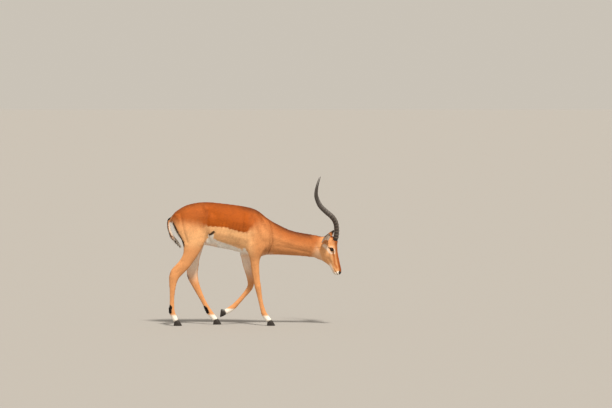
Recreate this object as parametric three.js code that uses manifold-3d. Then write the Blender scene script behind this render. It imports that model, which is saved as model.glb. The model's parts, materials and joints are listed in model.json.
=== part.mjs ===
// Impala ram, life size, walking with its head lowered.
// Millimetres. +X is the way the animal faces, +Y is its left side, +Z is up.
// Every limb is a row of named slices; a smooth body is drawn through each row, the bodies of flesh
// are joined, and the joined flesh is parted again by thin cuts into the parts that have a name.
import * as THREE from 'three';
import { mergeVertices } from 'three/addons/utils/BufferGeometryUtils.js';
import Module from 'manifold-3d';

const wasm = await Module();
wasm.setup();

// ---------------------------------------------------------------- driving dimensions

const CUT = 0.35; // width of the cuts that part the flesh
const RIGHT = -1; // sign of Y on the animal's right side
const LEFT = 1;
const REACH = 2000; // longer than the animal, for the blocks that cut it

// How many flat sides go round each body.
const TRUNK_SIDES = 20;
const NECK_SIDES = 16;
const HEAD_SIDES = 20;
const LEG_SIDES = 10;
const TAIL_SIDES = 8;

// Trunk slices from the dock of the tail to the breast, all upright:
// [x, top, bottom, half width, narrowing at the top, narrowing at the bottom]
const TRUNK = {
  dock: [-634, 832, 791, 20, 0.1, 0.1],
  pinBones: [-614, 861, 736, 48, 0.15, 0.2],
  buttock: [-576, 891, 674, 76, 0.2, 0.3],
  rump: [-516, 923, 635, 94, 0.25, 0.4],
  croup: [-434, 942, 616, 100, 0.3, 0.4],
  loin: [-353, 946, 610, 98, 0.3, 0.3],
  flank: [-254, 937, 590, 109, 0.3, 0.2],
  barrel: [-155, 925, 570, 118, 0.3, 0.2],
  girth: [-65, 911, 542, 115, 0.38, 0.3],
  withers: [8, 891, 522, 104, 0.5, 0.4],
  shoulder: [63, 855, 528, 86, 0.45, 0.4],
  breast: [108, 809, 555, 60, 0.3, 0.3],
  breastFront: [138, 753, 607, 30, 0.2, 0.2],
};

// Neck slices from inside the shoulder to inside the skull:
// [x, z, tilt in degrees, depth, half width]
const NECK = {
  root: [34, 703, 97.4, 325, 84],
  base: [90, 691, 97, 310, 78],
  low: [147.5, 670.5, 96.7, 265, 70],
  middle: [210.5, 651, 94.7, 231, 61],
  high: [273.5, 634, 93.7, 202, 55],
  slender: [337, 622.5, 91, 187, 51],
  throat: [397, 615, 88, 180, 48.5],
  behindJaw: [449, 607, 85.5, 177, 47],
  nape: [498, 601.5, 79, 168, 44],
  inSkull: [531, 600, 75, 134, 38],
};

// The head has its own axis, from the poll to the nose, pitched down and turned a little to the right.
const POLL = [533.6, 680];
const HEAD_PITCH = 68; // degrees below level
const HEAD_YAW = 3; // degrees towards the animal's right
const TURN_PIVOT = 400; // the x about which the head turns
const TURN_FROM = 330; // the neck starts to turn here
const TURN_TO = 455; // and has turned in full here

// Head slices, nape to lips: [along, above] of the brow line, [along, below] of the jaw line,
// half width, narrowing at the top, narrowing at the bottom, rise of the widest place
const HEAD = {
  occiput: [-7, -15, 86, -113, 30, 0.1, 0.2, 0],
  nape: [2, 19, 115, -126, 40, 0.1, 0.25, 0.05],
  poll: [13, 54, 131, -122, 44, 0.1, 0.3, 0.1],
  hornSeat: [37, 75, 147, -109, 47, 0.05, 0.3, 0.15],
  forehead: [71, 78, 161, -93, 53, 0.1, 0.3, 0.2],
  orbit: [103, 70, 172, -83, 55, 0.15, 0.3, 0.22],
  cheek: [135, 58, 187, -72, 47, 0.2, 0.3, 0.12],
  crest: [176, 49, 207, -60, 38, 0.2, 0.3, 0.05],
  midFace: [213, 42, 226, -50, 32, 0.15, 0.25, 0],
  bridge: [246, 36, 248, -44, 28.5, 0.1, 0.2, 0],
  noseRear: [273, 32, 268, -42, 27, 0.1, 0.15, 0],
  nostril: [292, 27, 286, -41, 26, 0.1, 0.15, 0],
  lip: [308, 19, 301, -36, 22, 0.1, 0.1, 0],
  tip: [316, 7, 309, -22, 13, 0, 0, 0],
};

// Sizes of the legs, the same on both sides: [depth, half width] of each slice.
const HIND_SIZES = {
  pelvis: [190, 28],
  hip: [246, 44],
  thigh: [252, 51],
  thighLow: [226, 51],
  stifle: [190, 47],
  gaskinTop: [154, 41],
  gaskin: [126, 35],
  gaskinLow: [107, 29.5],
  aboveHock: [98, 24.5],
  hockPoint: [94, 21.5],
  hock: [90, 20.5],
  hockLow: [81, 19.5],
  cannonTop: [61, 17],
  cannon: [46, 14],
  cannonLow: [38, 13],
  fetlockTop: [40, 14.5],
  fetlock: [47, 17],
  pastern: [45, 16.5],
  coronet: [43, 16],
};
const FORE_SIZES = {
  scapulaTop: [50, 8],
  scapula: [128, 25],
  shoulder: [172, 32],
  arm: [176, 35],
  armLow: [154, 36],
  elbow: [128, 35],
  elbowLow: [103, 31],
  forearm: [82, 27],
  forearmMid: [68, 23],
  forearmLow: [59, 20.5],
  aboveKnee: [53, 19.5],
  knee: [53, 20],
  kneeLow: [47, 18],
  cannonTop: [40, 14.5],
  cannon: [37, 13.5],
  fetlockTop: [40, 15],
  fetlock: [46, 17.5],
  pastern: [46, 16.5],
  coronet: [44, 16],
};

// The stride: where each slice of each leg stands, [x, z, tilt in degrees, distance from the middle].
const HIND_RIGHT_STRIDE = {
  pelvis: [-478, 846, 4, 36],
  hip: [-490, 806, 6, 46],
  thigh: [-481, 760, 12, 54],
  thighLow: [-468, 706, 8, 57],
  stifle: [-465, 655, -1, 60],
  gaskinTop: [-471, 605, -11, 63],
  gaskin: [-483, 563, -19, 66],
  gaskinLow: [-502, 521, -30, 68],
  aboveHock: [-533, 475, -38, 69],
  hockPoint: [-569, 435, -42, 69],
  hock: [-597, 404, -35, 68],
  hockLow: [-612, 374, -17, 68],
  cannonTop: [-620, 331, -7, 67],
  cannon: [-625, 271, -4, 66],
  cannonLow: [-628, 202, -2, 65],
  fetlockTop: [-629, 152, -1, 64],
  fetlock: [-630, 117, 7, 64],
  pastern: [-618, 80, 22, 64],
  coronet: [-597, 36, 26, 64],
};
const HIND_LEFT_STRIDE = {
  pelvis: [-486, 846, 10, 36],
  hip: [-486, 800, 12, 46],
  thigh: [-476, 742, 12, 55],
  thighLow: [-467, 690, 6, 58],
  stifle: [-465, 648, 2, 61],
  gaskinTop: [-464, 602, -1, 63],
  gaskin: [-466, 556, -3, 66],
  gaskinLow: [-469, 515, -4, 68],
  aboveHock: [-471, 478, -5, 69],
  hockPoint: [-475, 438, -4, 70],
  hock: [-478, 398, 2, 70],
  hockLow: [-471, 355, 15, 70],
  cannonTop: [-451, 304, 23, 70],
  cannon: [-418, 231, 26, 70],
  cannonLow: [-392, 180, 27, 70],
  fetlockTop: [-371, 140, 28, 70],
  fetlock: [-351, 103, 33, 70],
  pastern: [-325, 67, 38, 70],
  coronet: [-300, 36, 26, 70],
};
const FORE_RIGHT_STRIDE = {
  scapulaTop: [-3, 858, 14, 28],
  scapula: [11, 808, 11, 50],
  shoulder: [21, 741, 4, 67],
  arm: [23, 665, -2, 70],
  armLow: [17, 608, -8, 70],
  elbow: [10, 567, -8, 67],
  elbowLow: [7, 533, -4, 63],
  forearm: [5, 500, 0, 59],
  forearmMid: [7, 454, 4, 56],
  forearmLow: [12, 401, 6, 54],
  aboveKnee: [19, 347, 9, 53],
  knee: [27, 304, 11, 52],
  kneeLow: [34, 266, 11, 52],
  cannonTop: [43, 218, 11, 52],
  cannon: [54, 164, 13, 52],
  fetlockTop: [65, 122, 16, 52],
  fetlock: [76, 89, 25, 52],
  pastern: [96, 60, 32, 52],
  coronet: [115, 36, 28, 52],
};
const FORE_LEFT_STRIDE = {
  scapulaTop: [-2, 858, 13, 28],
  scapula: [11, 808, 8, 50],
  shoulder: [16, 741, -5, 67],
  arm: [-1, 666, -17, 69],
  armLow: [-28, 611, -24, 67],
  elbow: [-50, 566, -19, 64],
  elbowLow: [-60, 530, -7, 61],
  forearm: [-60, 497, 5, 59],
  forearmMid: [-55, 454, 9, 57],
  forearmLow: [-45, 409, 13, 56],
  aboveKnee: [-34, 363, 12, 55],
  knee: [-27, 320, 0, 54],
  kneeLow: [-36, 283, -28, 54],
  cannonTop: [-64, 245, -40, 54],
  cannon: [-103, 199, -41, 54],
  fetlockTop: [-143, 155, -44, 54],
  fetlock: [-172, 128, -56, 54],
  pastern: [-200, 110, -66, 54],
  coronet: [-224, 97, -72, 54],
};

// Hooves: two claws to a foot, cut off on top along the coronet.
const CLAW_FRONT = 48; // toe in front of the middle of the coronet
const CLAW_BACK = 20; // heel behind it
const CLAW_DROP = 36; // sole below it
const CLAW_HALF_WIDTH = 9.5;
const CLAW_SPREAD = 10.6; // middle of a claw from the middle of the foot
const CLAW_SLOPE = 26; // degrees, the coronet is higher in front
const CLAW_SIDES = 10;
const CORONET_BLOCK = [56, 56, 14]; // block that cuts a leg off at its coronet

// Tail, root to the end of its brush: [x, z, radius across, radius fore and aft]
const TAIL = {
  root: [-606, 832, 15, 15],
  dock: [-636, 827, 14, 13],
  bend: [-653, 804, 13, 11.5],
  upper: [-658, 776, 13, 11],
  middle: [-655, 738, 13.5, 11],
  lower: [-640, 698, 14, 11.5],
  brush: [-612, 659, 14, 12],
  brushLow: [-587, 628, 11, 10],
  end: [-569, 598, 3, 3],
};

// Horns: the lyre curve of the right horn, [x, distance from the middle, z], before the head turns.
const HORN_CURVE = [
  [612, 24, 634],
  [626, 27, 680],
  [630, 37, 738],
  [621, 53, 790],
  [594, 77, 832],
  [549, 98, 871],
  [503, 119, 918],
  [477, 134, 978],
  [474, 137, 1023],
  [484, 131, 1078],
  [503, 117, 1137],
];
const HORN_BASE_RADIUS = 18.5;
const HORN_TIP_RADIUS = 1.5;
const HORN_RIDGES = 11;
const HORN_RIDGED_FROM = 0.1; // share of the length where the rings start
const HORN_RIDGED_TO = 0.68; // and where the smooth point starts
const RIDGE_HEIGHT = 1.7;
const POINT_RINGS = 5;
const HORN_SIDES = 8;

// Ears: a cupped leaf, the left one pricked a little more. Before the head turns, [x, from the middle, z].
const EAR_ROOT = [536, 36, 640];
const EAR_TIPS = { right: [579, 164, 713], left: [600, 158, 724] };
const EAR_OPENS = [0.35, 0.35, -0.85]; // the way the cup faces: x, outwards, z
const EAR_HALF_WIDTH = 28;
const EAR_CUP = 15; // depth of the cup
const EAR_WALL = 5;
const EAR_ACROSS = 4;
const EAR_ALONG = 8;

// Eyes: place on the head's own axis, [along, above], and distance from the middle.
const EYE_PLACE = [113, 22];
const EYE_OUT = 44;
const EYE_RADIUS = 16.5;

// Scrotum, between the thighs: middle [x, z] and radii [x, y, z]
const SCROTUM_PLACE = [-476, 612];
const SCROTUM_RADII = [24, 21, 36];

// Where the flesh is parted.
const NECK_CUT = [[36, 880], [118, 500]]; // withers to breast, [x, z] at the top and at the bottom
const THROAT_CUT = [[496, 700], [424, 505]]; // behind the ears to the throat
const THIGH_TOP = 690;
const THIGH_FRONT = -352;
const STANCE_TOP = 575; // below this the hind legs may reach as far as the middle of the stride
const STRIDE_MIDDLE = -272; // all the flesh of the hind legs is behind it, that of the forelegs in front
const HOCK_CUT = 468;
const ELBOW_CUT = 518;
const FOREARM_TOP = 490; // below this the forelegs may reach back to the middle of the stride
const KNEE_CUT = 338;
const FORELEG_FRONT = 104;
const FORELEG_BACK = -126;

const COLOURS = {
  coat: '#c87533',
  rufous: '#b5602a',
  pale: '#e2a263',
  white: '#efe6da',
  horn: '#4a3d36',
  hoof: '#1d1a19',
  eye: '#120c09',
};

// ---------------------------------------------------------------- smooth bodies through slices

const radians = THREE.MathUtils.degToRad;

// A slice is a row of numbers: its two ends in the XZ plane, its distance from the middle, its half
// width, how much it narrows towards either end, and how far its widest place sits above halfway.
function sliceAcross([x, z, tilt, depth, halfWidth], y, narrowFront, narrowBack) {
  const reachX = (depth / 2) * Math.cos(radians(tilt));
  const reachZ = (depth / 2) * Math.sin(radians(tilt));
  return [x - reachX, z - reachZ, x + reachX, z + reachZ, y, halfWidth, narrowFront, narrowBack, 0];
}

function sliceUpright([x, top, bottom, halfWidth, crown, keel]) {
  return [x, bottom, x, top, 0, halfWidth, crown, keel, 0];
}

// A point on the head's own axis, as [x, z].
function headPoint(along, above) {
  const cos = Math.cos(radians(HEAD_PITCH));
  const sin = Math.sin(radians(HEAD_PITCH));
  return [POLL[0] + along * cos + above * sin, POLL[1] - along * sin + above * cos];
}

function sliceOfHead([topAlong, above, jawAlong, below, halfWidth, crown, keel, rise]) {
  return [...headPoint(jawAlong, below), ...headPoint(topAlong, above), 0, halfWidth, crown, keel, rise];
}

// More slices between the given ones, on a smooth curve through every number of the row.
function fillIn(slices, steps) {
  const places = slices.map((slice, index) => index);
  const curve = new THREE.CubicInterpolant(places, slices.flat(), slices[0].length);
  const count = (slices.length - 1) * steps;
  return Array.from({ length: count + 1 }, (_, step) => Array.from(curve.evaluate(step / steps)));
}

// The ring of points of one slice: a rounded oval, fuller than an ellipse.
function ringOf(slice, sides, grow) {
  const [x1, z1, x2, z2, y, halfWidth, narrowTop, narrowLow, rise] = slice;
  const reach = Math.hypot(x2 - x1, z2 - z1) / 2;
  const swell = 1 + grow / reach;
  const fullness = 0.92;
  const full = (value) => Math.sign(value) * Math.abs(value) ** fullness;
  return Array.from({ length: sides }, (_, side) => {
    const turn = (side / sides) * 2 * Math.PI;
    const lengthwise = full(Math.cos(turn));
    const narrowing = lengthwise > 0 ? narrowTop : narrowLow;
    const sideways = full(Math.sin(turn)) * (1 - narrowing * lengthwise ** 2) * (halfWidth + grow);
    const shifted = (lengthwise + rise * (1 - lengthwise ** 2)) * swell;
    return new THREE.Vector3(
      (x1 + x2) / 2 + ((x2 - x1) / 2) * shifted,
      y + sideways,
      (z1 + z2) / 2 + ((z2 - z1) / 2) * shifted,
    );
  });
}

// A closed body through rings of equal count, made by bending a cylinder onto them.
function loft(rings) {
  const sides = rings[0].length;
  const last = rings.length - 1;
  const geometry = new THREE.CylinderGeometry(1, 1, 1, sides, last);
  const place = geometry.attributes.position;
  const middles = rings.map((ring) => {
    const sum = ring.reduce((total, point) => total.add(point), new THREE.Vector3());
    return sum.divideScalar(sides);
  });
  for (let i = 0; i < place.count; i += 1) {
    const ring = Math.round((0.5 - place.getY(i)) * last);
    const onAxis = Math.hypot(place.getX(i), place.getZ(i)) < 0.5;
    const turn = Math.atan2(place.getX(i), place.getZ(i)) / (2 * Math.PI);
    const side = (Math.round(turn * sides) + sides) % sides;
    const point = onAxis ? middles[ring] : rings[ring][side];
    place.setXYZ(i, point.x, point.y, point.z);
  }
  return geometry;
}

function bodyThrough(slices, steps, sides, grow = 0) {
  return loft(fillIn(slices, steps).map((slice) => ringOf(slice, sides, grow)));
}

// ---------------------------------------------------------------- solids, joins and cuts

function solidOf(geometry) {
  geometry.deleteAttribute('normal');
  geometry.deleteAttribute('uv');
  const merged = mergeVertices(geometry, 1e-4);
  return new wasm.Manifold(new wasm.Mesh({
    numProp: 3,
    vertProperties: new Float32Array(merged.attributes.position.array),
    triVerts: new Uint32Array(merged.index.array),
  }));
}

function geometryOf(solid) {
  const mesh = solid.getMesh();
  const geometry = new THREE.BufferGeometry();
  geometry.setAttribute('position', new THREE.BufferAttribute(mesh.vertProperties, 3));
  geometry.setIndex(new THREE.BufferAttribute(mesh.triVerts, 1));
  geometry.computeVertexNormals();
  return geometry;
}

// A block between two corners.
function block(low, high) {
  const size = new THREE.Vector3(...high).sub(new THREE.Vector3(...low));
  const geometry = new THREE.BoxGeometry(size.x, size.y, size.z);
  geometry.translate(low[0] + size.x / 2, low[1] + size.y / 2, low[2] + size.z / 2);
  return solidOf(geometry);
}

// Everything in front of a plane that stands across the animal through two points of its side view.
function inFrontOf([[topX, topZ], [lowX, lowZ]], offset) {
  const lean = Math.atan2(topX - lowX, topZ - lowZ);
  const geometry = new THREE.BoxGeometry(REACH, REACH, REACH);
  geometry.translate(REACH / 2 + offset, 0, 0);
  geometry.rotateY(lean);
  geometry.translate((topX + lowX) / 2, 0, (topZ + lowZ) / 2);
  return solidOf(geometry);
}

// Parts a solid in two along that plane, leaving the cut open between them.
function partAt(solid, line) {
  const front = solid.intersect(inFrontOf(line, CUT / 2));
  const back = solid.subtract(inFrontOf(line, -CUT / 2));
  return { front, back };
}

// Parts a solid in two at a level.
function partAtLevel(solid, level) {
  const above = solid.intersect(block([-REACH, -REACH, level + CUT / 2], [REACH, REACH, REACH]));
  const below = solid.intersect(block([-REACH, -REACH, -REACH], [REACH, REACH, level - CUT / 2]));
  return { above, below };
}

// ---------------------------------------------------------------- the turn of the head

// The neck turns little by little, and all that belongs to the head turns in full.
function turnPoint(point, share) {
  const angle = radians(HEAD_YAW) * share;
  const ahead = point.x - TURN_PIVOT;
  const { y } = point;
  point.x = TURN_PIVOT + ahead * Math.cos(angle) + y * Math.sin(angle);
  point.y = y * Math.cos(angle) - ahead * Math.sin(angle);
}

function turned(geometry, gradual = false) {
  const place = geometry.attributes.position;
  const point = new THREE.Vector3();
  for (let i = 0; i < place.count; i += 1) {
    point.fromBufferAttribute(place, i);
    turnPoint(point, gradual ? THREE.MathUtils.smoothstep(point.x, TURN_FROM, TURN_TO) : 1);
    place.setXYZ(i, point.x, point.y, point.z);
  }
  return geometry;
}

// ---------------------------------------------------------------- flesh

function trunkBody(grow) {
  return solidOf(bodyThrough(Object.values(TRUNK).map(sliceUpright), 2, TRUNK_SIDES, grow));
}

function neckBody(grow) {
  const slices = Object.values(NECK).map((slice) => sliceAcross(slice, 0, 0.35, 0.15));
  return solidOf(turned(bodyThrough(slices, 2, NECK_SIDES, grow), true));
}

function headBody(grow) {
  return solidOf(turned(bodyThrough(Object.values(HEAD).map(sliceOfHead), 2, HEAD_SIDES, grow)));
}

function legBody(sizes, stride, side, grow) {
  const slices = Object.keys(sizes).map((name) => {
    const [x, z, tilt, fromMiddle] = stride[name];
    return sliceAcross([x, z, tilt, ...sizes[name]], side * fromMiddle, 0.12, 0.3);
  });
  return solidOf(bodyThrough(slices, 2, LEG_SIDES, grow));
}

function tailBody() {
  const slices = Object.values(TAIL).map(([x, z, across, deep]) => (
    [x - deep, z, x + deep, z, 0, across, 0.1, 0.1, 0]
  ));
  return solidOf(bodyThrough(slices, 2, TAIL_SIDES));
}

function scrotumBody() {
  const geometry = new THREE.SphereGeometry(1, 10, 6);
  geometry.scale(...SCROTUM_RADII);
  geometry.translate(SCROTUM_PLACE[0], 0, SCROTUM_PLACE[1]);
  return solidOf(geometry);
}

// ---------------------------------------------------------------- hooves

// Where the foot of a leg is, and how far it is pitched: the slice at its coronet says both.
function footOf(stride, side) {
  const [x, z, tilt, fromMiddle] = stride.coronet;
  const lifted = z > CLAW_DROP + 1;
  return { x, z, y: side * fromMiddle, pitch: lifted ? tilt - CLAW_SLOPE : 0 };
}

function ontoFoot(geometry, foot) {
  geometry.rotateY(-radians(foot.pitch));
  geometry.translate(foot.x, foot.y, foot.z);
  return geometry;
}

// One ring of a claw: blunt behind, drawn to a point in front and straight on its inner side.
function clawRing(side, level, shrink) {
  const slope = Math.tan(radians(CLAW_SLOPE));
  const back = -CLAW_BACK + 4 * level;
  const front = THREE.MathUtils.lerp(CLAW_FRONT, CLAW_BACK, level);
  const middle = (back + front) / 2;
  return Array.from({ length: CLAW_SIDES }, (_, step) => {
    const turn = (step / CLAW_SIDES) * 2 * Math.PI;
    const x = middle + ((front - back) / 2 - shrink) * Math.cos(turn);
    const towardsToe = Math.max(0, Math.cos(turn));
    const sideways = Math.sin(turn) * (CLAW_HALF_WIDTH - shrink) * (1 - 0.45 * towardsToe ** 2);
    const inwards = -side * 3.5 * towardsToe ** 2;
    const top = x * slope - CUT;
    const z = THREE.MathUtils.lerp(-CLAW_DROP, top, level);
    return new THREE.Vector3(x, sideways + side * CLAW_SPREAD + inwards, z);
  });
}

function clawGeometry(foot, side) {
  const rings = [clawRing(side, 1, 1), clawRing(side, 0.55, 0), clawRing(side, 0.12, 0), clawRing(side, 0, 1)];
  return ontoFoot(loft(rings), foot);
}

// The space below a coronet, which a leg gives up to its claws.
function belowCoronet(foot) {
  const geometry = new THREE.BoxGeometry(...CORONET_BLOCK);
  geometry.translate(0, 0, -CORONET_BLOCK[2] / 2);
  geometry.rotateY(-radians(CLAW_SLOPE));
  return solidOf(ontoFoot(geometry, foot));
}

// ---------------------------------------------------------------- horns, ears and eyes

function hornRadius(share) {
  const taper = (1 - share ** 1.35) ** 0.85;
  return HORN_TIP_RADIUS + HORN_BASE_RADIUS * taper;
}

// Shares of the horn's length where it has a ring, with the height of the ring there.
function hornStations() {
  const stations = [[0, 0], [HORN_RIDGED_FROM / 2, 0]];
  for (let i = 0; i <= 2 * HORN_RIDGES; i += 1) {
    const share = THREE.MathUtils.lerp(HORN_RIDGED_FROM, HORN_RIDGED_TO, i / (2 * HORN_RIDGES));
    const fade = 1 - 0.6 * (i / (2 * HORN_RIDGES));
    stations.push([share, i % 2 === 1 ? RIDGE_HEIGHT * fade : 0]);
  }
  for (let i = 1; i <= POINT_RINGS; i += 1) {
    stations.push([THREE.MathUtils.lerp(HORN_RIDGED_TO, 1, i / POINT_RINGS), 0]);
  }
  return stations;
}

function hornGeometry(side) {
  const points = HORN_CURVE.map(([x, out, z]) => new THREE.Vector3(x, side * out, z));
  const curve = new THREE.CatmullRomCurve3(points);
  const rings = hornStations().map(([share, ridge]) => {
    const middle = curve.getPointAt(share);
    const along = curve.getTangentAt(share);
    const front = new THREE.Vector3(1, 0, 0.4).addScaledVector(along, -along.x - 0.4 * along.z).normalize();
    const across = new THREE.Vector3().crossVectors(front, along);
    const radius = hornRadius(share) + ridge;
    return Array.from({ length: HORN_SIDES }, (_, step) => {
      const turn = (step / HORN_SIDES) * 2 * Math.PI;
      return middle.clone()
        .addScaledVector(front, radius * 1.06 * Math.cos(turn))
        .addScaledVector(across, radius * 0.94 * Math.sin(turn));
    });
  });
  return turned(loft(rings));
}

// A leaf: narrow at its root, widest at two fifths, pointed, and cupped round its long axis.
function earGeometry(name, side) {
  const [tipX, tipOut, tipZ] = EAR_TIPS[name];
  const root = new THREE.Vector3(EAR_ROOT[0], side * EAR_ROOT[1], EAR_ROOT[2]);
  const tip = new THREE.Vector3(tipX, side * tipOut, tipZ);
  const length = tip.distanceTo(root);
  const along = tip.clone().sub(root).normalize();
  const opens = new THREE.Vector3(EAR_OPENS[0], side * EAR_OPENS[1], EAR_OPENS[2]);
  opens.addScaledVector(along, -opens.dot(along)).normalize();
  const across = new THREE.Vector3().crossVectors(along, opens);
  const geometry = new THREE.BoxGeometry(2, 1, 1, EAR_ACROSS, EAR_ALONG, 1);
  geometry.translate(0, 0.5, 0);
  const place = geometry.attributes.position;
  for (let i = 0; i < place.count; i += 1) {
    const v = place.getX(i);
    const u = place.getY(i);
    const inside = place.getZ(i) > 0;
    const leaf = 0.42 * (1 - u) ** 2 + 2.35 * Math.sqrt(u) * (1 - u) ** 0.8;
    const halfWidth = EAR_HALF_WIDTH * Math.min(1.05, leaf) + 1;
    const cup = EAR_CUP * (halfWidth / EAR_HALF_WIDTH);
    const depth = cup * v * v + (inside ? EAR_WALL / 2 : -EAR_WALL / 2);
    const curl = inside ? 0.93 : 1;
    const bow = 9 * Math.sin(Math.PI * u) - 4;
    const point = root.clone()
      .addScaledVector(along, length * u)
      .addScaledVector(across, halfWidth * curl * v)
      .addScaledVector(opens, depth - cup / 2 - bow);
    place.setXYZ(i, point.x, point.y, point.z);
  }
  return turned(geometry);
}

function eyeGeometry(side, grow) {
  const geometry = new THREE.SphereGeometry(EYE_RADIUS + grow, 12, 7);
  const [x, z] = headPoint(...EYE_PLACE);
  geometry.translate(x, side * EYE_OUT, z);
  return turned(geometry);
}

// ---------------------------------------------------------------- the whole animal

const LEGS = {
  hind_right: { sizes: HIND_SIZES, stride: HIND_RIGHT_STRIDE, side: RIGHT },
  hind_left: { sizes: HIND_SIZES, stride: HIND_LEFT_STRIDE, side: LEFT },
  fore_right: { sizes: FORE_SIZES, stride: FORE_RIGHT_STRIDE, side: RIGHT },
  fore_left: { sizes: FORE_SIZES, stride: FORE_LEFT_STRIDE, side: LEFT },
};

function legOf(name, grow = 0) {
  const { sizes, stride, side } = LEGS[name];
  return legBody(sizes, stride, side, grow);
}

function joinedFlesh() {
  const legs = Object.keys(LEGS).map((name) => legOf(name));
  let flesh = trunkBody(0).add(neckBody(0)).add(headBody(0));
  legs.forEach((leg) => {
    flesh = flesh.add(leg);
  });
  Object.values(LEGS).forEach(({ stride, side }) => {
    flesh = flesh.subtract(belowCoronet(footOf(stride, side)));
  });
  return flesh;
}

// The space that a leg takes out of the joined flesh; "grow" widens it by the cut.
function hindSpace(side, grow) {
  const inner = side * (CUT / 2 - grow);
  const outer = side * REACH;
  const low = Math.min(inner, outer);
  const high = Math.max(inner, outer);
  const thigh = block([-REACH, low, -REACH], [THIGH_FRONT + grow, high, THIGH_TOP + grow]);
  return thigh.add(block([-REACH, low, -REACH], [STRIDE_MIDDLE, high, STANCE_TOP + grow]));
}

function foreSpace(side, grow) {
  const inner = side * (CUT / 2 - grow);
  const outer = side * REACH;
  const low = Math.min(inner, outer);
  const high = Math.max(inner, outer);
  const back = FORELEG_BACK - grow;
  const arm = block([back, low, -REACH], [FORELEG_FRONT + grow, high, ELBOW_CUT + grow]);
  const foot = block([STRIDE_MIDDLE, low, -REACH], [REACH, high, FOREARM_TOP + grow]);
  return arm.add(foot);
}

const animal = new THREE.Group();

function addPart(name, geometry, colour, roughness = 0.9) {
  const material = new THREE.MeshStandardMaterial({ color: colour, roughness, metalness: 0 });
  const mesh = new THREE.Mesh(geometry, material);
  mesh.name = name;
  animal.add(mesh);
}

function addFlesh(flesh) {
  const { front: headAndNeck, back: rest } = partAt(flesh, NECK_CUT);
  const { front: head, back: neck } = partAt(headAndNeck, THROAT_CUT);
  const sockets = [RIGHT, LEFT].map((side) => solidOf(eyeGeometry(side, CUT)));
  addPart('head', geometryOf(head.subtract(sockets[0]).subtract(sockets[1])), COLOURS.coat);
  addPart('neck', geometryOf(neck), COLOURS.coat);
  let trunk = rest;
  Object.entries(LEGS).forEach(([name, { side }]) => {
    const isHind = name.startsWith('hind');
    const space = isHind ? hindSpace : foreSpace;
    const leg = rest.intersect(space(side, 0));
    const { above, below } = partAtLevel(leg, isHind ? HOCK_CUT : KNEE_CUT);
    addPart(`leg_${name}_upper`, geometryOf(above), COLOURS.pale);
    addPart(`leg_${name}_lower`, geometryOf(below), COLOURS.pale);
    trunk = trunk.subtract(space(side, CUT));
  });
  addPart('trunk', geometryOf(trunk), COLOURS.rufous);
}

function addTailAndScrotum() {
  const thighs = legOf('hind_right', CUT).add(legOf('hind_left', CUT));
  const body = trunkBody(CUT).add(thighs);
  addPart('tail', geometryOf(tailBody().subtract(body)), COLOURS.white);
  addPart('scrotum', geometryOf(scrotumBody().subtract(body)), COLOURS.pale);
}

function addHooves() {
  Object.entries(LEGS).forEach(([name, { stride, side }]) => {
    const foot = footOf(stride, side);
    addPart(`hoof_${name}_outer`, clawGeometry(foot, side), COLOURS.hoof, 0.5);
    addPart(`hoof_${name}_inner`, clawGeometry(foot, -side), COLOURS.hoof, 0.5);
  });
}

function addHeadPieces() {
  const head = headBody(CUT).add(neckBody(CUT));
  [['right', RIGHT], ['left', LEFT]].forEach(([name, side]) => {
    addPart(`horn_${name}`, geometryOf(solidOf(hornGeometry(side)).subtract(head)), COLOURS.horn, 0.6);
    addPart(`ear_${name}`, geometryOf(solidOf(earGeometry(name, side)).subtract(head)), COLOURS.coat);
    addPart(`eye_${name}`, eyeGeometry(side, 0), COLOURS.eye, 0.1);
  });
}

addFlesh(joinedFlesh());
addTailAndScrotum();
addHooves();
addHeadPieces();

// The origin is the middle of the animal's box, at the level of its soles.
animal.updateMatrixWorld(true);
const box = new THREE.Box3().setFromObject(animal);
animal.position.set(-(box.min.x + box.max.x) / 2, -(box.min.y + box.max.y) / 2, -box.min.z);

export default animal;
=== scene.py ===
# %% [markdown]
# # An impala ram, from bare forms to coat
# The solids that come with this lesson give the ram's size and stance. Here it gets what the eye
# looks for: one skin over all its flesh, eyes, ringed horns, hooves, and a short coat that lies
# the way it does in life. The loader brings the solids in, and they are never moved.

# %% Load the solids
import json
import math

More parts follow.
